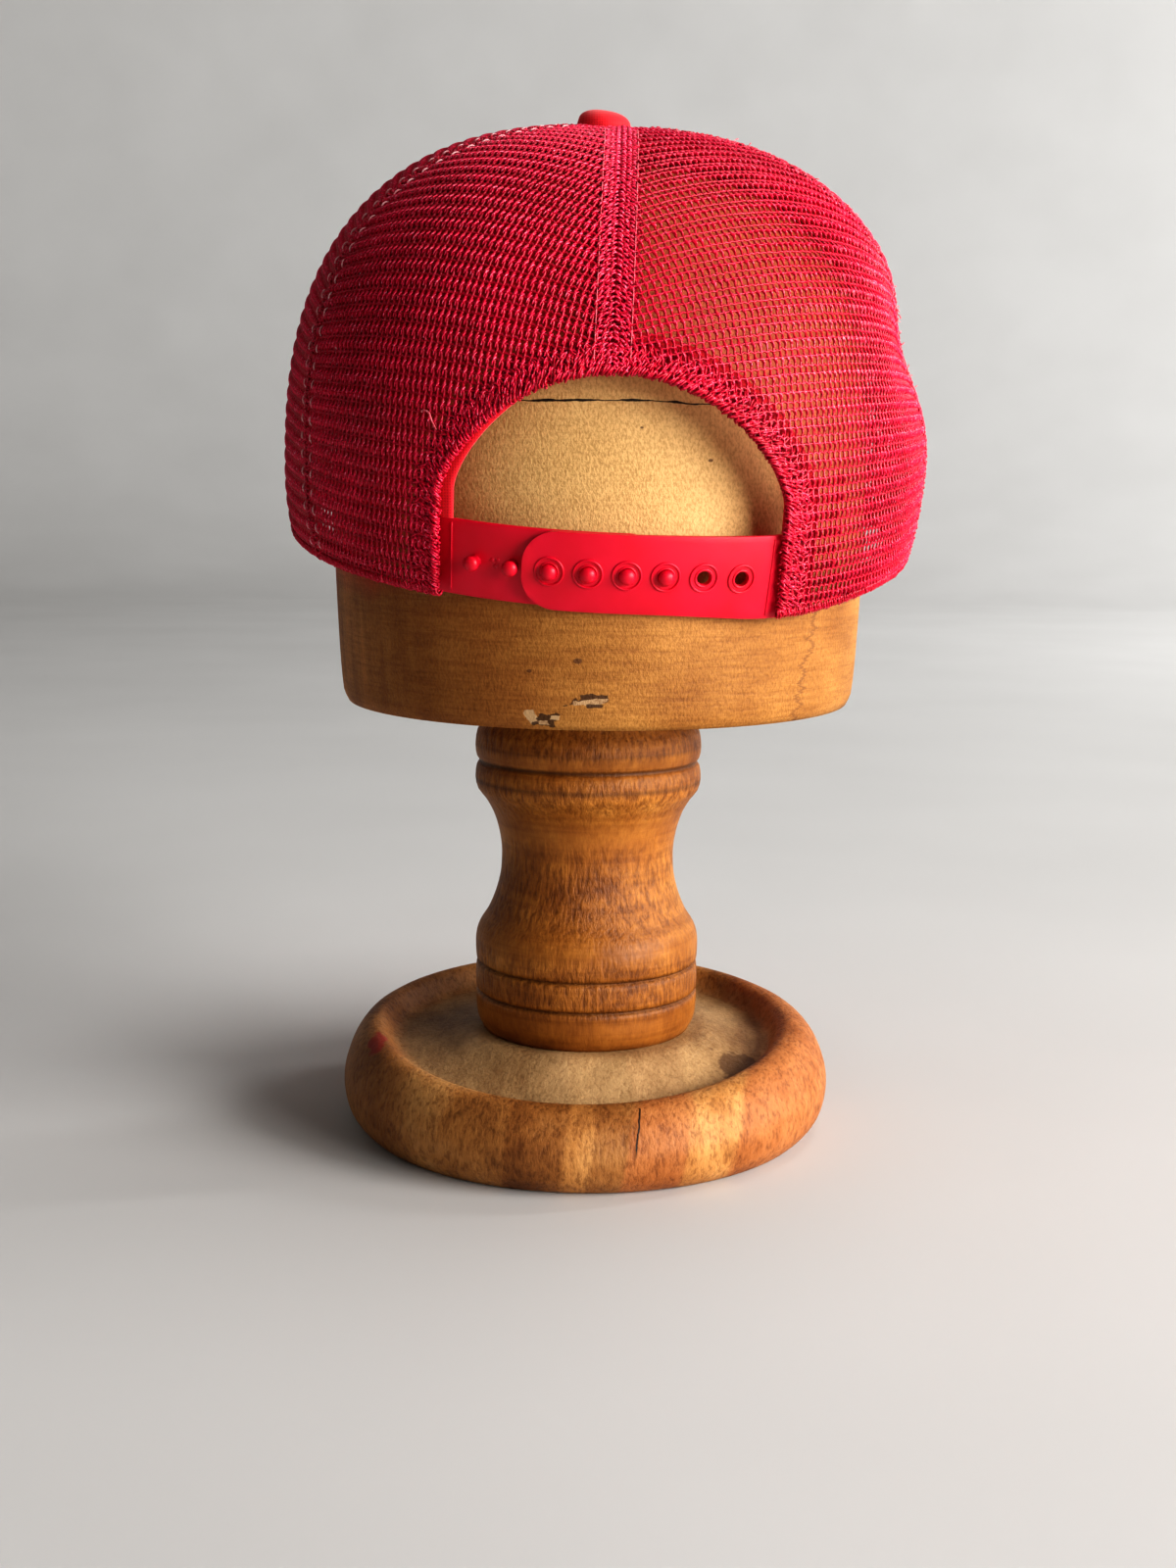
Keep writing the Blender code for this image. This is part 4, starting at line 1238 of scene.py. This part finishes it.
def moulded_line(across, lean, inset):
    """A low upright ridge across the strap."""
    height = np.linspace(STRAP_RISE + 0.0010, STRAP_RISE + STRAP_HEIGHT - 0.0010, 16)
    line = across + lean * (height - STRAP_RISE) / STRAP_HEIGHT
    points, normals = back_place(line, height, inset)
    return tubes(points[None], normals[None], 0.00030, sides=6)


def round_bead(middle, width, height, steps):
    """A bead's closed profile round a hole, sunk a little into the strap."""
    return [(middle + width * math.cos(a), height * math.sin(a) - 0.00002)
            for a in np.linspace(0.0, 2.0 * math.pi, steps)]


def finished_tab(name, node, mesh, parts):
    """The bent tab with its added parts, as a piece."""
    shape = bmesh.new()
    shape.from_mesh(mesh)
    for points, faces in parts:
        verts = [shape.verts.new(p) for p in points]
        for face in faces:
            shape.faces.new([verts[k] for k in face])
    shape.to_mesh(mesh)
    shape.free()
    mesh.materials.append(PLASTIC)
    mesh.shade_smooth()
    dress(name, mesh, [node])


def snap_strap():
    """The half with pegs, and over it the half with ringed holes."""
    under = LINING_DEPTH + (STRAP_THICKNESS + FIT_GAP)
    middle = STRAP_RISE + 0.5 * STRAP_HEIGHT
    peg_end = ARCH_LEFT + PEG_TAB_REACH
    tongue = ARCH_RIGHT - TONGUE_REACH
    first = round((tongue + FIRST_HOLE - ARCH_LEFT - FIRST_PEG) / PEG_PITCH)
    pegs = [ARCH_LEFT + FIRST_PEG + k * PEG_PITCH for k in range(PEG_COUNT)]
    holes = [ARCH_LEFT + FIRST_PEG + (first + k) * PEG_PITCH for k in range(PEG_COUNT)]

    mesh = flat_tab("strap_pegs", tab_outline(ARCH_LEFT - STRAP_TUCK, peg_end, peg_end), [])
    wrapped(mesh, under)
    neck = FIT_GAP + STRAP_THICKNESS + FIT_GAP
    head = 1.06 * PEG_HEAD_RADIUS
    dome = [(head * math.cos(a), neck + 0.0007 + 1.25 * PEG_HEAD_HEIGHT * math.sin(a))
            for a in np.linspace(-0.6, 0.5 * math.pi - 0.02, 11)]
    profile = [(PEG_RADIUS + 0.0004, -0.0004), (PEG_RADIUS, 0.0003), (PEG_RADIUS, neck - 0.0003)] + dome
    parts = [closed(*spun(profile, 24, aimed(x, middle, under)), 24) for x in pegs]
    mark = [(0.00065, -0.0003), (0.00065, 0.00004), (0.0004, 0.00016), (0.00005, 0.00018)]
    for share, up in ((0.45, 0.0008), (0.55, -0.0007), (0.60, 0.0010)):
        place = aimed(pegs[0] + share * PEG_PITCH, middle + up, under)
        parts.append(closed(*spun(mark, 10, place), 10))
    parts.append(moulded_line(ARCH_LEFT + 0.0016, 0.0, under))
    finished_tab("strap_pegs", "strap_peg_tab", mesh, parts)

    mesh = flat_tab("strap_holes", tab_outline(tongue, ARCH_RIGHT + STRAP_TUCK, tongue),
                    [(x, middle) for x in holes])
    for vertex in mesh.vertices:
        loose = max(0.0, 1.0 - (vertex.co.x - tongue) / 0.006)
        vertex.co.z += 0.0006 * loose * loose
    wrapped(mesh, LINING_DEPTH)
    parts = []
    for bead, sides in ((round_bead(0.0037, 0.00034, 0.00036, 13), 48),
                        (round_bead(HOLE_RADIUS + 0.00040, 0.00034, 0.00026, 11), 36)):
        parts += [spun(bead, sides, aimed(x, middle, LINING_DEPTH)) for x in holes]
    parts.append(moulded_line(ARCH_RIGHT - 0.0022, 0.0011, LINING_DEPTH))
    finished_tab("strap_holes", "strap_hole_tab", mesh, parts)


# The front, the brim and the button

def shell(outer, inner, flip=False):
    """A closed shell between two grids of points, rows by columns."""
    rows, width = outer.shape[:2]
    base = rows * width
    faces = []
    for a in range(base - width):
        if (a + 1) % width:
            faces.append([a, a + 1, a + 1 + width, a + width])
            faces.append([base + a, base + a + width, base + a + 1 + width, base + a + 1])
    for a in range(0, base - width, width):
        b = a + width - 1
        faces.append([a, a + width, base + a + width, base + a])
        faces.append([b, base + b, base + b + width, b + width])
    for k in range(width - 1):
        a = base - width + k
        faces.append([k, base + k, base + k + 1, k + 1])
        faces.append([a, a + 1, base + a + 1, base + a])
    if flip:
        faces = [face[::-1] for face in faces]
    return np.concatenate([outer.reshape(-1, 3), inner.reshape(-1, 3)]), faces


def front_panel():
    """The foam backed front panel, a closed shell between its two seams."""
    rise = np.linspace(0.0, 1.0, 53)[:, None]
    share = np.linspace(0.0, 1.0, 61)[None, :]
    left = seam_azimuth("front_right", rise)
    right = seam_azimuth("front_left", rise) + 2.0 * math.pi
    azimuth = left + (right - left) * share
    normals = crown_normal(azimuth, rise)
    edge_roll = 0.0008 * (np.minimum(share, 1.0 - share) * (right - left) * 0.095 < 0.0012)
    outer = crown(azimuth, rise) - normals * edge_roll[..., None]
    inner = outer - normals * (FOAM_WALL - edge_roll)[..., None]
    piece_of("front_foam", shell(outer, inner), FOAM, ["front_panel"])


def brim_point(share, out):
    """Points of the brim's upper face: share runs along it, out from the crown to its edge."""
    left = seam_azimuth("front_right", 0.0)
    right = seam_azimuth("front_left", 0.0) + 2.0 * math.pi
    corner_radius = crown_radius(left, np.array(0.0))
    corner_y = -corner_radius * math.cos(left)
    tip = CROWN_FRONT + BRIM_LENGTH
    azimuth = left + (right - left) * share
    radius = crown_radius(azimuth, np.zeros(np.shape(azimuth))) - 0.9 * FOAM_WALL
    inner = np.stack([radius * np.sin(azimuth), -radius * np.cos(azimuth)], -1)
    turn = math.pi * share
    edge = np.stack([BRIM_HALF_WIDTH * np.cos(turn),
                     corner_y + (tip - corner_y) * np.sin(turn) ** (2.0 / BRIM_SQUARENESS)], -1)
    flat = inner + (edge - inner) * out[..., None]
    far = np.linalg.norm(edge - inner, axis=-1) * out
    side = np.abs(flat[..., 0]) / BRIM_HALF_WIDTH
    ease = np.minimum(1.0, far / BRIM_LENGTH)
    drop = FIT_GAP + far * math.tan(BRIM_SLOPE)
    drop = drop + BRIM_DROOP * side * side * ease * ease * (3.0 - 2.0 * ease)
    return np.concatenate([flat, -drop[..., None]], -1)


def brim():
    """The peak: a cloth covered board with a rolled edge and rows of stitches."""
    share, out = np.broadcast_arrays(np.linspace(0.002, 0.998, 101)[None, :],
                                     np.linspace(0.0, 1.0, 33)[:, None])
    top = brim_point(share, out)
    rim = 0.0014
    far = np.linalg.norm(brim_point(share, np.ones_like(out)) - top, axis=-1)
    roll = np.clip(1.0 - far / rim, 0.0, 1.0)
    pinch = 0.5 * BRIM_THICKNESS * (1.0 - np.sqrt(np.clip(1.0 - roll * roll, 0.0, 1.0)))
    upper, lower = top.copy(), top.copy()
    upper[..., 2] -= pinch
    lower[..., 2] -= BRIM_THICKNESS - pinch
    piece_of("brim_cloth", shell(upper, lower, True), CLOTH, ["brim"])

    share = np.linspace(0.01, 0.99, 260)
    length = np.linalg.norm(brim_point(share, np.ones(260)) - brim_point(share, np.zeros(260)), axis=-1)
    parts = []
    for k in range(8):
        from_edge = STITCH_INSET + STITCH_SPACING * k
        out = 1.0 - from_edge / np.maximum(length, 1e-4)
        good = out > 0.04
        line = brim_point(share[good], out[good])
        up = np.tile([0.0, 0.0, 1.0], (len(line), 1))
        parts.append(stitch_line(line, up, 0.0026, 0.0008, 0.00017, 0.00003))
    piece_of("brim_stitches", join(parts), SEAM_THREAD)


def button():
    """The covered button, a little off the middle and tilted, as in the photograph."""
    foot = CROWN_HEIGHT + FIT_GAP
    place = np.array(Matrix.Translation((BUTTON_SHIFT, 0.0, foot - BUTTON_SINK))
                     @ Matrix.Rotation(BUTTON_TILT, 4, "Y") @ Matrix.Translation((0.0, 0.0, -foot)))
    profile = [(1.03 * BUTTON_RADIUS, foot - 0.0026), (1.02 * BUTTON_RADIUS, foot + 0.08 * BUTTON_HEIGHT)]
    for angle in np.linspace(0.05, 0.5 * math.pi - 0.02, 12):
        profile.append((BUTTON_RADIUS * math.cos(angle) ** 0.8,
                        foot + 0.20 * BUTTON_HEIGHT + 0.62 * BUTTON_HEIGHT * math.sin(angle)))
    piece_of("button_cloth", closed(*spun(profile, 48, place), 48), TAPE, ["crown_button"])


# The stand

def half_section(node):
    """A turned node's half section (radius, height), top centre first, from the frame's mesh."""
    low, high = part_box(node)
    centre = 0.5 * (low + high)
    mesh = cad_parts[node].data
    links = {}
    for edge in mesh.edges:
        ends = [mesh.vertices[k].co for k in edge.vertices]
        if all(abs(v.y - centre.y) < 1e-5 and v.x > centre.x - 1e-5 for v in ends):
            first, second = [(round(v.x - centre.x, 6), round(v.z, 6)) for v in ends]
            if first != second:
                links.setdefault(first, set()).add(second)
                links.setdefault(second, set()).add(first)
    ends = [k for k in links if len(links[k]) == 1]
    path = [max(ends, key=lambda k: k[1])]
    nexts = list(links[path[0]])
    while nexts:
        path.append(nexts[0])
        nexts = [k for k in links[path[-1]] if k not in path]
    if path[0][0] > 0.0:
        path.insert(0, (0.0, path[0][1]))
    if path[-1][0] > 0.0:
        path.append((0.0, path[-1][1]))
    return path


def corner(points, k, sharp=math.radians(58.0)):
    """Whether a section turns sharply at a point, or ends there."""
    if k in (0, len(points) - 1):
        return True
    first = points[k] - points[k - 1]
    second = points[k + 1] - points[k]
    cosine = first @ second / (np.linalg.norm(first) * np.linalg.norm(second))
    return cosine < math.cos(sharp)


def smoothed(section, step=0.0014):
    """The section with round curves through its points, its sharp corners kept."""
    points = [np.array(p) for p in section]
    fine = []
    for k in range(len(points) - 1):
        before = points[max(k - 1, 0)]
        here, after = points[k], points[k + 1]
        beyond = points[min(k + 2, len(points) - 1)]
        straight = after - here
        start_slope = 0.5 * (after - before)
        end_slope = 0.5 * (beyond - here)
        for slope in (start_slope, end_slope):
            size = np.linalg.norm(slope)
            if size > 0.0:
                slope *= min(1.0, np.linalg.norm(straight) / size)
        if corner(points, k):
            start_slope = straight
        if corner(points, k + 1):
            end_slope = straight
        count = max(2, int(np.linalg.norm(straight) / step))
        for t in np.arange(count) / count:
            fine.append(here * (2 * t ** 3 - 3 * t ** 2 + 1) + start_slope * (t ** 3 - 2 * t ** 2 + t)
                        + after * (3 * t ** 2 - 2 * t ** 3) + end_slope * (t ** 3 - t ** 2))
    fine.append(points[-1])
    return fine


def turned(name, node, material, step=0.0014, sides=128, wear=None):
    """A smooth turned piece in the place of a node, as oval as the node; wear changes its points."""
    section = smoothed(half_section(node), step)
    low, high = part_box(node)
    centre = 0.5 * (low + high)
    stretch = (high.y - low.y) / (high.x - low.x) if node == "hat_block" else 1.0
    turn = 2.0 * math.pi * np.arange(sides) / sides
    rings = [np.stack([centre.x + radius * np.cos(turn), centre.y + stretch * radius * np.sin(turn),
                       np.full(sides, height)], 1) for radius, height in section[1:-1]]
    tips = [[centre.x, centre.y, section[0][1]], [centre.x, centre.y, section[-1][1]]]
    points = np.concatenate(rings + [tips])
    points[:, 2] = np.maximum(points[:, 2], section[-1][1])
    if wear is not None:
        wear(points)
    faces = ring_faces(len(rings), sides, True)
    top, bottom = len(points) - 2, len(points) - 1
    for j in range(sides):
        after = (j + 1) % sides
        faces.append([top, j, after])
        faces.append([bottom, top - sides + after, top - sides + j])
    piece_of(name, (points, faces), material, [node], WORLD)


def worn_rim(points):
    """The dish's rim, wider and worn lower at the front than at the back."""
    rim_radius, rim_spread = 0.0650, 0.0055
    widening, shift = 0.0024, 0.0014
    front_drop, back_rise, roundness = 0.0080, 0.0030, 1.3
    floor_radius, slope_width = 0.036, 0.026
    radius = np.hypot(points[:, 0], points[:, 1])
    share = np.clip(points[:, 2] / points[:, 2].max(), 0.0, 1.0)
    toward = -points[:, 1] / np.maximum(radius, 1e-6)
    inner = np.exp(-((radius - rim_radius) / rim_spread) ** 2) * (share > 0.6)
    grow = 1.0 - widening * inner / np.maximum(radius, 1e-6)
    points[:, 0] = points[:, 0] * grow - shift * inner
    points[:, 1] *= grow
    ease = np.clip((radius - floor_radius) / slope_width, 0.0, 1.0)
    ease = ease * ease * (3.0 - 2.0 * ease)
    forward, back = np.maximum(toward, 0.0), np.maximum(-toward, 0.0)
    drop = front_drop * forward ** roundness - back_rise * back ** roundness
    points[:, 2] -= drop * ease * share ** 1.2


def stand():
    turned("base_wood", "stand_base", DISH, wear=worn_rim)
    turned("column_wood", "stand_column", TURNED)
    turned("block_wood", "hat_block", BLOCK, 0.0035, 160)


# Floor, light and camera

def floor():
    """A pale floor that curves up far away on every side."""
    sides, bend, reach = 96, 1.5, 3.0
    profile = [(0.5 * reach, 0.0), (reach, 0.0)]
    for angle in np.linspace(0.0, 0.5 * math.pi, 12)[1:]:
        profile.append((reach + bend * math.sin(angle), bend * (1.0 - math.cos(angle))))
    profile.append((reach + bend, 3.5))
    points, faces = spun(profile, sides, np.eye(4))
    centre = len(points)
    points = np.concatenate([points, [[0.0, 0.0, 0.0]]])
    faces = [face[::-1] for face in faces] + [[centre, k, (k + 1) % sides] for k in range(sides)]
    mesh = bpy.data.meshes.new("floor")
    mesh.from_pydata(points.tolist(), [], faces)
    mesh.shade_smooth()
    paper = Shader("floor_paper", 0.9)
    tone = paper.ramp(paper.noise(4.0, 2.0), (0.3, (0.60, 0.595, 0.585)), (0.7, (0.63, 0.625, 0.615)))
    connect(paper.tree, paper.surface["Base Color"], tone)
    mesh.materials.append(paper.material)
    placed("floor", mesh)


def area_light(name, place, size, power, colour=WHITE, target=(0.0, 0.0, 0.2)):
    light = bpy.data.lights.new(name, "AREA")
    light.shape = "DISK"
    light.size = size
    light.energy = power
    light.color = colour
    lamp = placed(name, light)
    lamp.location = place
    lamp.rotation_mode = "QUATERNION"
    lamp.rotation_quaternion = (Vector(target) - Vector(place)).to_track_quat("-Z", "Y")


def lights():
    world = bpy.data.worlds.new("studio")
    bpy.context.scene.world = world
    world.use_nodes = True
    background = world.node_tree.nodes["Background"]
    background.inputs["Color"].default_value = (1.0, 0.97, 0.94, 1.0)
    background.inputs["Strength"].default_value = 0.11
    area_light("key", (1.48, -0.60, 0.66), 0.90, 25.0, (1.0, 0.98, 0.96))
    area_light("window", (1.08, -1.09, 0.40), 0.75, 14.5, (1.0, 0.98, 0.96))
    area_light("top", (0.35, 0.1, 1.6), 0.8, 3.5)
    area_light("backdrop", (2.6, 0.9, 1.5), 1.0, 95.0, WHITE, (1.2, 4.4, 0.7))
    bpy.context.scene.view_settings.view_transform = "Standard"
    bpy.context.scene.view_settings.look = "High Contrast"


def camera():
    focal = 1864.9          # in the photograph's pixels, as the image's height is
    image_height = 1600.0
    pitch = math.radians(8.988)
    tilt = math.radians(0.53)
    data = bpy.data.cameras.new("camera")
    data.sensor_width = 36.0
    data.lens = focal / image_height * data.sensor_width
    data.clip_start = 0.01
    eye = placed("camera", data)
    turn = Matrix.Rotation(0.5 * math.pi - pitch, 4, "X") @ Matrix.Rotation(tilt, 4, "Z")
    distance, height = 0.569, 0.1978
    eye.matrix_world = Matrix.Translation((0.0, -distance, height)) @ turn
    bpy.context.scene.camera = eye


camera()
lights()
floor()
stand()
knitted_panels()
arch_hem()
rim_hem()
seam_bands()
fold_lining()
fuzz()
stitches()
arch_binding()
snap_strap()
front_panel()
brim()
button()
